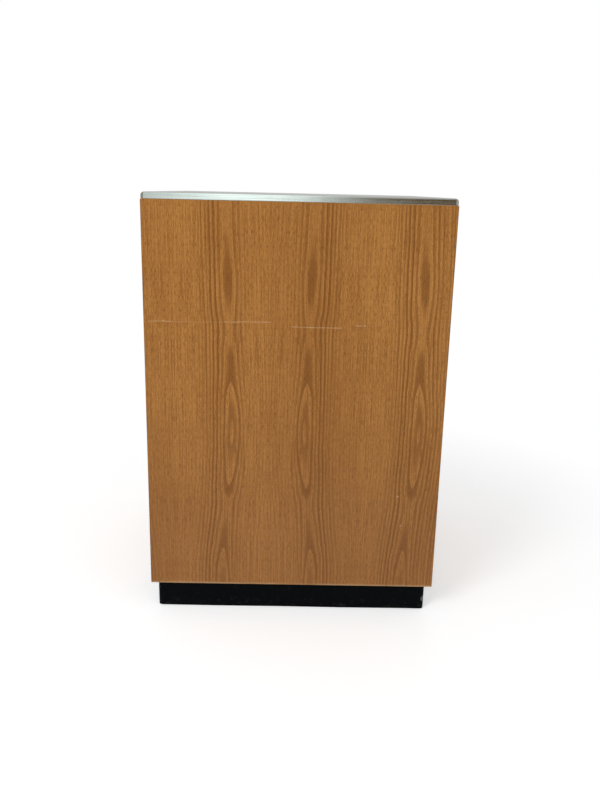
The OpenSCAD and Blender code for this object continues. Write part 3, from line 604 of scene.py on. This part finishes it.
def vinyl_finish(soft):
    """Soft black vinyl: a faint sheen, floor dust along its foot and one scuffed corner."""
    graph, shader = new_finish("Black vinyl", soft.vinyl, 0.55, Specular_IOR_Level=0.05)
    place = graph.place()
    axes = graph.parts(place)
    mottle = graph.group("Mottle", Place=place, Tooth=700.0)
    dusty = graph.smooth(axes[2], 0.002, 0.03, 0.5, 0.06) * mottle["Dust"]
    colour = graph.mix(dusty * 0.35, soft.vinyl, soft.scuff)
    scuff_at = Vector((CAD_LOW.x + 0.0135, BACK_HIGH.y - 0.014, 0.026))
    apart = graph.node("ShaderNodeVectorMath", operation="DISTANCE")
    graph.feed(apart.inputs[0], place)
    apart.inputs[1].default_value = scuff_at
    ragged = apart.outputs["Value"] + (mottle["Patches"] - 0.5) * 0.004
    scuff = graph.smooth(ragged, 0.004, 0.009, 0.75, 0.0)
    rough = dusty * 0.4 + 0.27
    rough = mottle["Patches"] * 0.2 + rough
    height = mottle["Tooth"] + mottle["Patches"] * 6
    graph.lay(shader, graph.mix(scuff, colour, soft.scuff), rough, (height, 0.12, 0.0004))


def mat_finish(soft):
    """Ribbed rubber, paler and smoother where books have rubbed the crowns of the ribs."""
    graph, shader = new_finish("Ribbed mat", soft.mat, 0.7)
    place = graph.place()
    mottle = graph.group("Mottle", Place=place, Tooth=1200.0)
    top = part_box("platform_mat")[1].z
    crown = graph.smooth(graph.parts(place)[2], top - 0.0012, top - 0.0001)
    rubbed = crown * graph.smooth(mottle["Patches"], 0.35, 0.65, 0.2, 0.75)
    colour = graph.mix(rubbed, soft.mat, tone(86, 88, 91))
    rough = graph.smooth(rubbed, 0.0, 1.0, 0.75, 0.5)
    graph.lay(shader, colour, rough, (mottle["Tooth"], 0.3, 0.0003))


# ---------- modelling helpers ----------


def clear_selection():
    if bpy.context.object and bpy.context.object.mode != "OBJECT":
        bpy.ops.object.mode_set(mode="OBJECT")
    bpy.ops.object.select_all(action="DESELECT")


def choose(piece):
    """Makes a piece the one selected and active object."""
    clear_selection()
    piece.select_set(True)
    bpy.context.view_layer.objects.active = piece


def settle(piece):
    """Leaves the object at the origin with its place in its mesh."""
    choose(piece)
    bpy.ops.object.transform_apply(location=True, rotation=True, scale=True)
    return piece


def add_box(name, low, high):
    low, high = Vector(low), Vector(high)
    clear_selection()
    bpy.ops.mesh.primitive_cube_add(size=1, location=(low + high) / 2)
    piece = bpy.context.object
    piece.name = piece.data.name = name
    piece.scale = high - low
    return settle(piece)


def add_rod(name, low, high, radius, axis, sides=32):
    """A cylinder between two ends on one world axis."""
    clear_selection()
    low, high = Vector(low), Vector(high)
    turn = {0: (0, math.pi / 2, 0), 1: (math.pi / 2, 0, 0), 2: (0, 0, 0)}[axis]
    bpy.ops.mesh.primitive_cylinder_add(
        vertices=sides, radius=radius, depth=(high - low).length,
        location=(low + high) / 2, rotation=turn,
    )
    piece = bpy.context.object
    piece.name = piece.data.name = name
    return settle(piece)


class Editing:
    """Edit mode on one piece, with nothing selected in it at the start."""

    def __init__(self, piece, mode="EDGE"):
        self.piece = piece
        self.mode = mode

    def __enter__(self):
        choose(self.piece)
        bpy.ops.object.mode_set(mode="EDIT")
        bpy.ops.mesh.select_mode(type=self.mode)
        bpy.ops.mesh.select_all(action="DESELECT")
        return self

    def __exit__(self, *problem):
        bpy.ops.object.mode_set(mode="OBJECT")

    def pick(self, test):
        """Selects the edges or faces whose middle, and normal or direction, pass the test."""
        mesh = bmesh.from_edit_mesh(self.piece.data)
        bpy.ops.mesh.select_all(action="DESELECT")
        if self.mode == "FACE":
            for face in mesh.faces:
                face.select_set(test(face.calc_center_median(), face.normal))
        else:
            for edge in mesh.edges:
                middle = (edge.verts[0].co + edge.verts[1].co) / 2
                way = (edge.verts[1].co - edge.verts[0].co).normalized()
                edge.select_set(test(middle, way))
        mesh.select_flush_mode()
        bmesh.update_edit_mesh(self.piece.data)


def along(axis):
    """Picks the edges that run, or the faces that look, along a world axis."""
    return lambda middle, way: abs(way[axis]) > 0.9


def rim(level, axis=2):
    """Picks the edges that lie at one level on a world axis."""
    return lambda middle, way: abs(middle[axis] - level) < HAIR and abs(way[axis]) < 0.1


def round_edges(piece, test, radius, segments=3):
    with Editing(piece) as edit:
        edit.pick(test)
        bpy.ops.mesh.bevel(offset=radius, segments=segments, profile=0.5, clamp_overlap=True)


def open_faces(piece, test):
    with Editing(piece, "FACE") as edit:
        edit.pick(test)
        bpy.ops.mesh.delete(type="FACE")


def modify(piece, kind, **settings):
    """Adds a modifier and applies it."""
    choose(piece)
    made = piece.modifiers.new(kind.title(), kind)
    for key, value in settings.items():
        setattr(made, key, value)
    bpy.ops.object.modifier_apply(modifier=made.name)
    return piece


def join(name, pieces):
    clear_selection()
    for piece in pieces:
        piece.select_set(True)
    bpy.context.view_layer.objects.active = pieces[0]
    bpy.ops.object.join()
    pieces[0].name = pieces[0].data.name = name
    return pieces[0]


def clean(piece, outwards=True):
    with Editing(piece, "FACE"):
        bpy.ops.mesh.select_all(action="SELECT")
        bpy.ops.mesh.remove_doubles(threshold=0.000005)
        if outwards:
            bpy.ops.mesh.normals_make_consistent(inside=False)
    return piece


def smooth(piece, angle=40):
    choose(piece)
    bpy.ops.object.shade_smooth_by_angle(angle=math.radians(angle))
    return modify(piece, "WEIGHTED_NORMAL", keep_sharp=True)


def give(piece, finish, body, slot, *nodes):
    """Hangs a finished piece on its body, with its finish, in place of its CAD nodes."""
    piece.data.materials.clear()
    piece.data.materials.append(bpy.data.materials[finish])
    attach(piece, body)
    if nodes:
        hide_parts(*nodes)
    return piece


def copy_of(piece, name, shift):
    """Another one of a piece, with its own mesh moved by a shift."""
    made = piece.copy()
    made.data = piece.data.copy()
    made.name = made.data.name = name
    made.data.transform(Matrix.Translation(Vector(shift)))
    bpy.context.scene.collection.objects.link(made)
    return made


# ---------- operators ----------


class BOOKDROP_OT_finishes(bpy.types.Operator):
    """Builds the shared effects and finishes and lays them on the carcass and its fittings"""

    bl_idname = "bookdrop.finishes"
    bl_label = "Finishes"

    def execute(self, context):
        scene = context.scene
        veneer, metal, soft = scene.bookdrop_veneer, scene.bookdrop_metal, scene.bookdrop_soft
        for build in EFFECTS:
            build()
        oak_finish("Oak back", veneer, 0, veneer.seam, 0.0, marks=back_marks)
        oak_finish("Oak left side", veneer, 1, 0.031, 4.0, 0.06, 0.92)
        oak_finish("Oak right side", veneer, 1, -0.064, 9.0, 0.02, 0.90)
        oak_finish("Oak front", veneer, 0, 0.0, 14.0, 0.03, 0.95)
        band_finish(veneer)
        ply_finish("Plywood laid flat", 2)
        ply_finish("Plywood on edge", 1)
        brushed_finish("Brushed top", metal.top, 0, 0.17)
        brushed_finish("Brushed trim", metal.trim, 0, 0.27)
        brushed_finish("Brushed pull", metal.trim, 2, 0.25)
        brushed_finish("Rail alloy", metal.alloy, 2, 0.36)
        mottled_finish("Zinc plate", metal.plate, 0.26, 1.0, tone(170, 172, 170), 0.6, 500.0, 0.06)
        mottled_finish("Spring wire", metal.spring, 0.30, 1.0, tone(96, 92, 88), 0.6, 300.0, 0.08)
        mottled_finish(
            "Grey coating", metal.paint, 0.45, 0.0, tone(110, 113, 114), 0.5, 1400.0, 0.25
        )
        mottled_finish("Black rubber", soft.rubber, 0.72, 0.0, tone(44, 44, 44), 0.5, 1100.0, 0.25)
        mottled_finish(
            "White nylon", soft.nylon, 0.42, 0.0, tone(208, 204, 190), 0.6, 800.0, 0.08,
            Subsurface_Weight=0.05,
        )
        vinyl_finish(soft)
        mat_finish(soft)
        laid = {
            "Oak back": ["back_panel"],
            "Oak left side": ["side_panel_left"],
            "Oak right side": ["side_panel_right"],
            "Oak front": ["front_panel", "door_panel"],
            "Oak band": ["front_edge_bands", "back_edge_bands", "door_edge_bands"],
            "Plywood laid flat": ["deck_panel", "top_core", "top_cleats", "platform_board"],
            "Plywood on edge": [
                "corner_strips", "plinth_front", "plinth_back", "plinth_sides", "plinth_blocks",
                "door_stop",
            ],
            "Brushed top": ["steel_top"],
            "Brushed trim": ["slot_bezel", "flap_plate", "lock_body"],
            "Brushed pull": ["door_pull"],
            "Rail alloy": ["guide_rails"],
            "Zinc plate": [
                "top_screws", "flush_screws", "flap_rod", "rod_brackets", "inner_screws",
                "lock_strike", "hinge_leaves_side", "hinge_leaves_door", "hinge_pins",
                "hinge_screws_side", "hinge_screws_door", "pull_screws", "lock_nut", "lock_plug",
                "lock_cam", "cam_screw", "catch_plate", "rail_screws", "shoe_brackets",
                "shoe_screws", "leveling_feet",
            ],
            "Spring wire": SPRINGS,
            "Grey coating": ["chute"],
            "Black rubber": ["flap_bumpers", "door_bumpers", "rail_stops"],
            "White nylon": [
                "magnet_catch", "spring_seats_lower", "spring_seats_upper", "guide_shoes",
            ],
            "Black vinyl": ["base_strip"],
            "Ribbed mat": ["platform_mat"],
        }
        for finish, nodes in laid.items():
            for name in nodes:
                mesh = frame["nodes"][name].data
                mesh.materials.clear()
                mesh.materials.append(bpy.data.materials[finish])
        left_out = set(frame["nodes"]) - {name for nodes in laid.values() for name in nodes}
        if left_out:
            raise RuntimeError(f"these nodes have no finish: {sorted(left_out)}")
        return {"FINISHED"}


class BOOKDROP_OT_steel_top(bpy.types.Operator):
    """Folds the steel top: rounded folds, soft corners and a rounded lower rim"""

    bl_idname = "bookdrop.steel_top"
    bl_label = "Steel top"

    def execute(self, context):
        metal = context.scene.bookdrop_metal
        low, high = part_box("steel_top")
        top = add_box("folded_top", low, high)
        folds = lambda middle, way: abs(way.z) > 0.9 or middle.z > high.z - HAIR
        round_edges(top, folds, metal.fold, 8)
        open_faces(top, lambda middle, normal: normal.z < -0.9)
        clean(top)
        modify(top, "SOLIDIFY", thickness=metal.sheet, offset=-1, use_even_offset=True)
        round_edges(top, rim(low.z), metal.sheet * 0.42)
        smooth(clean(top, False), 35)
        give(top, "Brushed top", "cabinet", "brushed_top", "steel_top")
        return {"FINISHED"}


class BOOKDROP_OT_edge_bands(bpy.types.Operator):
    """Works a small radius on the outer corners of every edge band"""

    bl_idname = "bookdrop.edge_bands"
    bl_label = "Edge bands"

    def execute(self, context):
        ease = context.scene.bookdrop_veneer.ease
        thick = 0.001
        low, high = BACK_LOW, BACK_HIGH
        back = [
            (low, (low.x + thick, high.y, high.z)),
            ((high.x - thick, low.y, low.z), high),
            ((low.x + thick, low.y, low.z), (high.x - thick, high.y, low.z + thick)),
        ]
        self.build("eased_back_bands", back, ease, "cabinet", "back_edge_bands", 1)
        low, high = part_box("front_edge_bands")
        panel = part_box("front_panel")
        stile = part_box("side_panel_right")
        front = [
            (low, (-stile[0].x, low.y + thick, high.z)),
            ((stile[0].x, low.y, low.z), (high.x, low.y + thick, high.z)),
            ((panel[0].x, low.y, panel[0].z - thick), (panel[1].x, high.y, panel[0].z)),
        ]
        self.build("eased_front_bands", front, ease, "cabinet", "front_edge_bands", -1)
        low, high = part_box("door_edge_bands")
        door = [
            ((low.x, low.y, low.z), (high.x, high.y, low.z + thick)),
            ((low.x, low.y, high.z - thick), high),
            ((low.x, low.y, low.z + thick), (low.x + thick, high.y, high.z - thick)),
            ((high.x - thick, low.y, low.z + thick), (high.x, high.y, high.z - thick)),
        ]
        self.build("eased_door_bands", door, ease, "door", "door_edge_bands", -1)
        return {"FINISHED"}

    def build(self, name, boxes, ease, body, node, outwards):
        """One set of strips; outwards is the way along Y that their outer face looks."""
        low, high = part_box(node)
        on_face = rim(high.y if outwards > 0 else low.y, 1)

        def outer(middle, way):
            edge = min(middle.x - low.x, high.x - middle.x, middle.z - low.z) < HAIR
            return edge and on_face(middle, way)

        strips = []
        for number, (start, end) in enumerate(boxes):
            strips.append(add_box(f"{name}_{number}", start, end))
            round_edges(strips[-1], outer, ease)
        give(smooth(join(name, strips), 35), "Oak band", body, "oak_band", node)


class BOOKDROP_OT_base_strip(bpy.types.Operator):
    """Wraps the vinyl base strip round the plinth, with a soft top edge and an uneven foot"""

    bl_idname = "bookdrop.base_strip"
    bl_label = "Base strip"

    def execute(self, context):
        soft = context.scene.bookdrop_soft
        low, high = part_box("base_strip")
        strip = add_box("vinyl_base", low, high)
        round_edges(strip, along(2), soft.corner, 8)
        open_faces(strip, along(2))
        clean(strip)
        first_cut, cut_step = 0.05, 0.07
        for axis in (0, 1):
            for step in range(8):
                self.slice(strip, axis, low[axis] + first_cut + cut_step * step)
        for share in (0.25, 0.5, 0.75):
            self.slice(strip, 2, low.z + (high.z - low.z) * share)
        for vertex in strip.data.vertices:
            lifted = 1 - (vertex.co.z - low.z) / (high.z - low.z)
            ripple = math.sin(vertex.co.x * 23 + 1) + math.sin(vertex.co.y * 19 + 2)
            pull = 1 - 0.0006 * (1 + ripple * 0.5) * lifted
            vertex.co.x *= pull
            vertex.co.z += max(0.0, 0.00035 * ripple) * lifted
        modify(strip, "SOLIDIFY", thickness=soft.wall, offset=-1, use_even_offset=True)
        top_rim = lambda middle, way: middle.z > high.z - HAIR and abs(way.z) < 0.1
        round_edges(strip, top_rim, 0.0012)
        smooth(clean(strip, False), 40)
        give(strip, "Black vinyl", "cabinet", "black_vinyl", "base_strip")
        return {"FINISHED"}

    def slice(self, piece, axis, level):
        """Cuts new edges round a piece at one level on a world axis."""
        place, normal = Vector(), Vector()
        place[axis], normal[axis] = level, 1
        with Editing(piece, "FACE"):
            bpy.ops.mesh.select_all(action="SELECT")
            bpy.ops.mesh.bisect(plane_co=place, plane_no=normal)


class BOOKDROP_OT_flap(bpy.types.Operator):
    """Presses the flap: a sunk field in the plate, a rolled tube above and a folded lip below"""

    bl_idname = "bookdrop.flap"
    bl_label = "Flap"

    def execute(self, context):
        low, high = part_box("flap_plate")
        rod_low, rod_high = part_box("flap_rod")
        axis = (rod_low + rod_high) / 2
        sheet, lip_depth = 0.0015, 0.008
        border, slope, sunk = 0.014, 0.004, 0.0018
        tube = high.z - axis.z
        front = axis.y + 0.001
        plate = add_box("pressed_flap", (low.x, front, low.z), (high.x, front + sheet, axis.z))
        with Editing(plate, "FACE") as edit:
            edit.pick(along(1))
            bpy.ops.mesh.inset(thickness=border, depth=0)
            bpy.ops.mesh.inset(thickness=slope, depth=0)
            bpy.ops.transform.translate(value=(0, sunk, 0))
        creases = lambda middle, way: abs(middle.y - front) < 0.0025 and abs(way.y) < 0.5
        round_edges(plate, creases, 0.0003, 2)
        lip = add_box("flap_lip", (low.x, front, low.z), (high.x, front + lip_depth, low.z + sheet))
        round_edges(lip, along(0), 0.0006)
        roll = add_rod("flap_roll", (low.x, axis.y, axis.z), (high.x, axis.y, axis.z), tube, 0, 40)
        with Editing(roll, "FACE") as edit:
            edit.pick(along(0))
            bpy.ops.mesh.inset(thickness=0.0012, depth=0)
            bpy.ops.mesh.inset(thickness=0.0001, depth=-0.002)
        flap = smooth(join("pressed_flap", [plate, lip, roll]), 35)
        give(flap, "Brushed trim", "flap", "brushed_trim", "flap_plate")
        return {"FINISHED"}


class BOOKDROP_OT_chute_hem(bpy.types.Operator):
    """Rolls a rounded hem along the chute's lower edge"""

    bl_idname = "bookdrop.chute_hem"
    bl_label = "Chute hem"

    def execute(self, context):
        low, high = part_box("chute")
        radius, inset, near = 0.0022, 0.002, 1e-4
        mesh = frame["nodes"]["chute"].data
        tip = min(v.co.z for v in mesh.vertices if v.co.y > high.y - near)
        start = Vector((low.x + inset, high.y - radius, tip + radius))
        end = Vector((high.x - inset, start.y, start.z))
        hem = add_rod("chute_hem", start, end, radius, 0, 24)
        ends = lambda middle, way: abs(abs(middle.x) - end.x) < near and abs(way.x) < 0.1
        round_edges(hem, ends, radius * 0.4)
        give(smooth(hem), "Grey coating", "cabinet", "grey_paint")
        return {"FINISHED"}


class BOOKDROP_OT_bumpers(bpy.types.Operator):
    """Domes the rubber bumpers that the flap and the door rest on"""

    bl_idname = "bookdrop.bumpers"
    bl_label = "Bumpers"

    def execute(self, context):
        self.build("flap_bumpers", "flap_bumper")
        self.build("door_bumpers", "door_bumper")
        return {"FINISHED"}

    def build(self, node, name):
        ((x, z), radius), *others = self.places(node)
        low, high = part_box(node)
        first = add_rod(f"{name}_1", (x, low.y, z), (x, high.y, z), radius, 1)
        outer = high.y if node == "flap_bumpers" else low.y
        round_edges(first, rim(outer, 1), min(radius, high.y - low.y) * 0.55, 5)
        smooth(clean(first), 45)
        copies = [
            copy_of(first, f"{name}_{number}", (other_x - x, 0, other_z - z))
            for number, ((other_x, other_z), _) in enumerate(others, 2)
        ]
        give(first, "Black rubber", "cabinet", "black_rubber", node)
        for bumper in copies:
            give(bumper, "Black rubber", "cabinet", "black_rubber")

    def places(self, node):
        """The middle and radius of each round solid in a node, seen along the depth."""
        source = frame["nodes"][node].data
        mesh = bmesh.new()
        mesh.from_mesh(source)
        bmesh.ops.remove_doubles(mesh, verts=mesh.verts, dist=1e-6)
        left = set(mesh.verts)
        found = []
        while left:
            heap = [left.pop()]
            island = list(heap)
            while heap:
                for edge in heap.pop().link_edges:
                    for vertex in edge.verts:
                        if vertex in left:
                            left.remove(vertex)
                            heap.append(vertex)
                            island.append(vertex)
            xs = [vertex.co.x for vertex in island]
            zs = [vertex.co.z for vertex in island]
            middle = ((min(xs) + max(xs)) / 2, (min(zs) + max(zs)) / 2)
            found.append((middle, (max(xs) - min(xs)) / 2))
        mesh.free()
        return sorted(found)


class BOOKDROP_OT_springs(bpy.types.Operator):
    """Winds the four lift springs with closed ends"""

    bl_idname = "bookdrop.springs"
    bl_label = "Lift springs"

    def execute(self, context):
        metal = context.scene.bookdrop_metal
        joint = next(joint for joint in frame["joints"] if joint["name"] == "platform_slide")
        travel = max(abs(limit) for limit in joint["range_m"])
        low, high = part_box(SPRINGS[0])
        length = high.z - low.z
        mean = (high.x - low.x) / 2 - metal.wire
        clear_selection()
        bpy.ops.mesh.primitive_circle_add(
            vertices=12, radius=metal.wire, location=(mean, 0, 0), rotation=(math.pi / 2, 0, 0)
        )
        coil = settle(bpy.context.object)
        rise = length - 2 * metal.wire
        modify(
            coil, "SCREW", axis="Z", angle=math.tau, screw_offset=rise / metal.turns,
            iterations=metal.turns, steps=28, render_steps=28, use_merge_vertices=False,
        )
        with Editing(coil):
            bpy.ops.mesh.select_non_manifold()
            bpy.ops.mesh.edge_face_add()
        clean(coil)
        flat = 2 * metal.wire + 0.0004
        for vertex in coil.data.vertices:
            angle = math.atan2(vertex.co.y, vertex.co.x) % math.tau / math.tau
            turn = round(vertex.co.z / rise * metal.turns - angle)
            level = max(0.0, min(metal.turns, turn + angle))
            across = vertex.co.z - level * rise / metal.turns
            vertex.co.z = self.level(level, metal.turns, rise, flat) + across
        for name in SPRINGS:
            start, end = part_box(name)
            middle = (start + end) / 2
            spring = copy_of(coil, f"wound_{name}", (middle.x, middle.y, start.z + metal.wire))
            smooth(spring, 60)
            give(spring, "Spring wire", "cabinet", "spring_steel", name)
            (length - travel) / length
            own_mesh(spring)
        bpy.data.objects.remove(coil)
        return {"FINISHED"}

    def level(self, turn, turns, rise, flat):
        """Height along the coil: one closed turn at each end, an even pitch between them."""
        if turn < 1:
            return flat * turn
        if turn > turns - 1:
            return rise - flat * (turns - turn)
        return flat + (rise - 2 * flat) * (turn - 1) / (turns - 2)


class BOOKDROP_OT_platform_mat(bpy.types.Operator):
    """Moulds the ribbed mat on the platform: a rounded sheet and a row of half-round ribs"""

    bl_idname = "bookdrop.platform_mat"
    bl_label = "Platform mat"

    def execute(self, context):
        soft = context.scene.bookdrop_soft
        low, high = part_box("platform_mat")
        sheet = add_box("mat_sheet", low, (high.x, high.y, high.z - soft.rib))
        round_edges(sheet, along(2), 0.012, 6)
        round_edges(sheet, rim(high.z - soft.rib), 0.001)
        margin = 0.014
        count = int((high.x - low.x - 2 * margin) / soft.rib_pitch)
        first = -(count - 1) / 2 * soft.rib_pitch
        width = soft.rib_pitch * 0.46
        rib = add_box(
            "mat_rib", (first - width / 2, low.y + margin, high.z - soft.rib - 0.0005),
            (first + width / 2, high.y - margin, high.z),
        )
        round_edges(rib, rim(high.z), soft.rib * 0.45)
        modify(
            rib, "ARRAY", count=count, use_relative_offset=False, use_constant_offset=True,
            constant_offset_displace=(soft.rib_pitch, 0, 0),
        )
        mat = smooth(join("ribbed_mat", [sheet, rib]))
        give(mat, "Ribbed mat", "platform", "ribbed_mat", "platform_mat")
        return {"FINISHED"}


class BOOKDROP_OT_stage(bpy.types.Operator):
    """Lays the pale floor and sets the soft lights, the surroundings and the camera"""

    bl_idname = "bookdrop.stage"
    bl_label = "Stage"

    def execute(self, context):
        scene = context.scene
        stage = scene.bookdrop_stage
        self.floor(stage)
        self.surroundings(scene)
        middle = (CAD_LOW + CAD_HIGH) / 2
        self.light("Key light", (1.9, 2.6, 2.3), middle, 1.6, stage.key, (1.0, 1.0, 1.0))
        self.light("Fill light", (-2.4, 2.4, 1.6), middle, 2.2, stage.fill, (0.97, 0.985, 1.0))
        front = stage.fill * 1.5
        self.light("Front light", (-0.6, -3.0, 2.4), middle, 2.4, front, (1.0, 0.99, 0.97))
        self.camera(scene, stage)
        scene.view_settings.view_transform = "Standard"
        return {"FINISHED"}

    def floor(self, stage):
        clear_selection()
        bpy.ops.mesh.primitive_plane_add(size=14, location=(0, 0, 0))
        floor = bpy.context.object
        floor.name = "pale_floor"
        graph, shader = new_finish("Pale floor", stage.floor, 0.75, Specular_IOR_Level=0.15)
        place = graph.place()
        away = graph.node("ShaderNodeVectorMath", operation="LENGTH")
        graph.feed(away.inputs[0], place)
        fade = graph.smooth(away.outputs["Value"], 0.6, 1.45)
        cloud = graph.noise(place, 3.0, 3, 0.5)
        darker = tuple(channel * 0.985 for channel in stage.floor)
        near = graph.mix(cloud, tuple(stage.floor), darker)
        graph.feed(shader["Base Color"], graph.mix(fade, near, (0.0, 0.0, 0.0)))
        graph.feed(shader["Emission Color"], graph.mix(fade, (0.45, 0.45, 0.45), (1.0, 1.0, 1.0)))
        to_eye = graph.node("ShaderNodeLightPath").outputs["Is Camera Ray"]
        graph.feed(shader["Emission Strength"], graph.smooth(to_eye, 0.0, 1.0, 0.5, 1.0))
        floor.data.materials.append(bpy.data.materials["Pale floor"])
        floor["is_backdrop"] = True

    def surroundings(self, scene):
        """A pale room to the eye; to reflections, a window on one side and shelves on the other."""
        world = bpy.data.worlds.new("Pale room")
        world.use_nodes = True
        scene.world = world
        graph = Graph(world.node_tree)
        shown = world.node_tree.nodes["Background"]
        way = graph.parts(graph.node("ShaderNodeTexCoord").outputs["Generated"])
        window = graph.smooth(way[0], -0.095, 0.03)
        corner = graph.smooth(way[0], 0.10, 0.24)
        ahead = graph.smooth(way[0], -0.45, -0.30) * graph.smooth(way[2], 0.98, 0.90)
        shelves = graph.mix(ahead, tone(170, 166, 160), tone(84, 62, 28))
        room = graph.mix(window, shelves, (1.28, 1.40, 1.35))
        room = graph.mix(corner, room, tone(150, 146, 138))
        facing = graph.smooth(way[1], -0.6, -0.1)
        room = graph.mix(facing, tone(200, 199, 196), room)
        rays = graph.node("ShaderNodeLightPath")
        seen = graph.mix(rays.outputs["Is Camera Ray"], tone(178, 178, 178), tone(255, 255, 255))
        graph.feed(shown.inputs["Color"], graph.mix(rays.outputs["Is Glossy Ray"], seen, room))
        shown.inputs["Strength"].default_value = 1.0

    def light(self, name, place, target, size, strength, colour):
        lamp = bpy.data.lights.new(name, "AREA")
        lamp.shape = "DISK"
        lamp.size = size
        lamp.energy = strength
        lamp.color = colour
        holder = bpy.data.objects.new(name, lamp)
        holder.location = place
        holder.rotation_euler = (Vector(place) - target).to_track_quat("Z", "Y").to_euler()
        holder.visible_glossy = False
        bpy.context.scene.collection.objects.link(holder)

    def camera(self, scene, stage):
        lens = bpy.data.cameras.new("Camera")
        lens.lens = stage.lens
        lens.sensor_width = 36
        lens.shift_y = -0.025
        holder = bpy.data.objects.new("Camera", lens)
        scene.collection.objects.link(holder)
        pitch, yaw, roll = math.radians(14.33), math.radians(-0.684), math.radians(1.309)
        level = math.cos(pitch)
        ahead = Vector((math.sin(yaw) * level, -math.cos(yaw) * level, -math.sin(pitch)))
        holder.location = (0.0100, BACK_HIGH.y + stage.distance, stage.height)
        turned = (-ahead).to_track_quat("Z", "Y").to_matrix() @ Matrix.Rotation(roll, 3, "Z")
        holder.rotation_euler = turned.to_euler()
        scene.camera = holder


STEPS = (
    BOOKDROP_OT_finishes,
    BOOKDROP_OT_steel_top,
    BOOKDROP_OT_edge_bands,
    BOOKDROP_OT_base_strip,
    BOOKDROP_OT_flap,
    BOOKDROP_OT_chute_hem,
    BOOKDROP_OT_bumpers,
    BOOKDROP_OT_springs,
    BOOKDROP_OT_platform_mat,
    BOOKDROP_OT_stage,
)


class BOOKDROP_PT_panel(bpy.types.Panel):
    """The steps of the build, in order, and the settings they use"""

    bl_idname = "BOOKDROP_PT_panel"
    bl_label = "Book drop box"
    bl_space_type = "VIEW_3D"
    bl_region_type = "UI"
    bl_category = "Book drop"

    def draw(self, context):
        for step in STEPS:
            self.layout.operator(step.bl_idname)
        for owner in GROUPS:
            box = self.layout.box()
            box.label(text=owner.replace("bookdrop_", "").title())
            settings = getattr(context.scene, owner)
            for key in settings.bl_rna.properties.keys():
                if key not in {"rna_type", "name"}:
                    box.prop(settings, key)


GROUPS = {
    "bookdrop_veneer": BookDropVeneer,
    "bookdrop_metal": BookDropMetal,
    "bookdrop_soft": BookDropSoft,
    "bookdrop_stage": BookDropStage,
}
CLASSES = (*GROUPS.values(), *STEPS, BOOKDROP_PT_panel)


def register():
    for kind in CLASSES:
        bpy.utils.register_class(kind)
    for owner, kind in GROUPS.items():
        setattr(bpy.types.Scene, owner, PointerProperty(type=kind))


def unregister():
    for owner in GROUPS:
        delattr(bpy.types.Scene, owner)
    for kind in reversed(CLASSES):
        bpy.utils.unregister_class(kind)


def main():
    register()
    for step in STEPS:
        area, name = step.bl_idname.split(".")
        getattr(getattr(bpy.ops, area), name)()


if __name__ == "__main__":
    main()
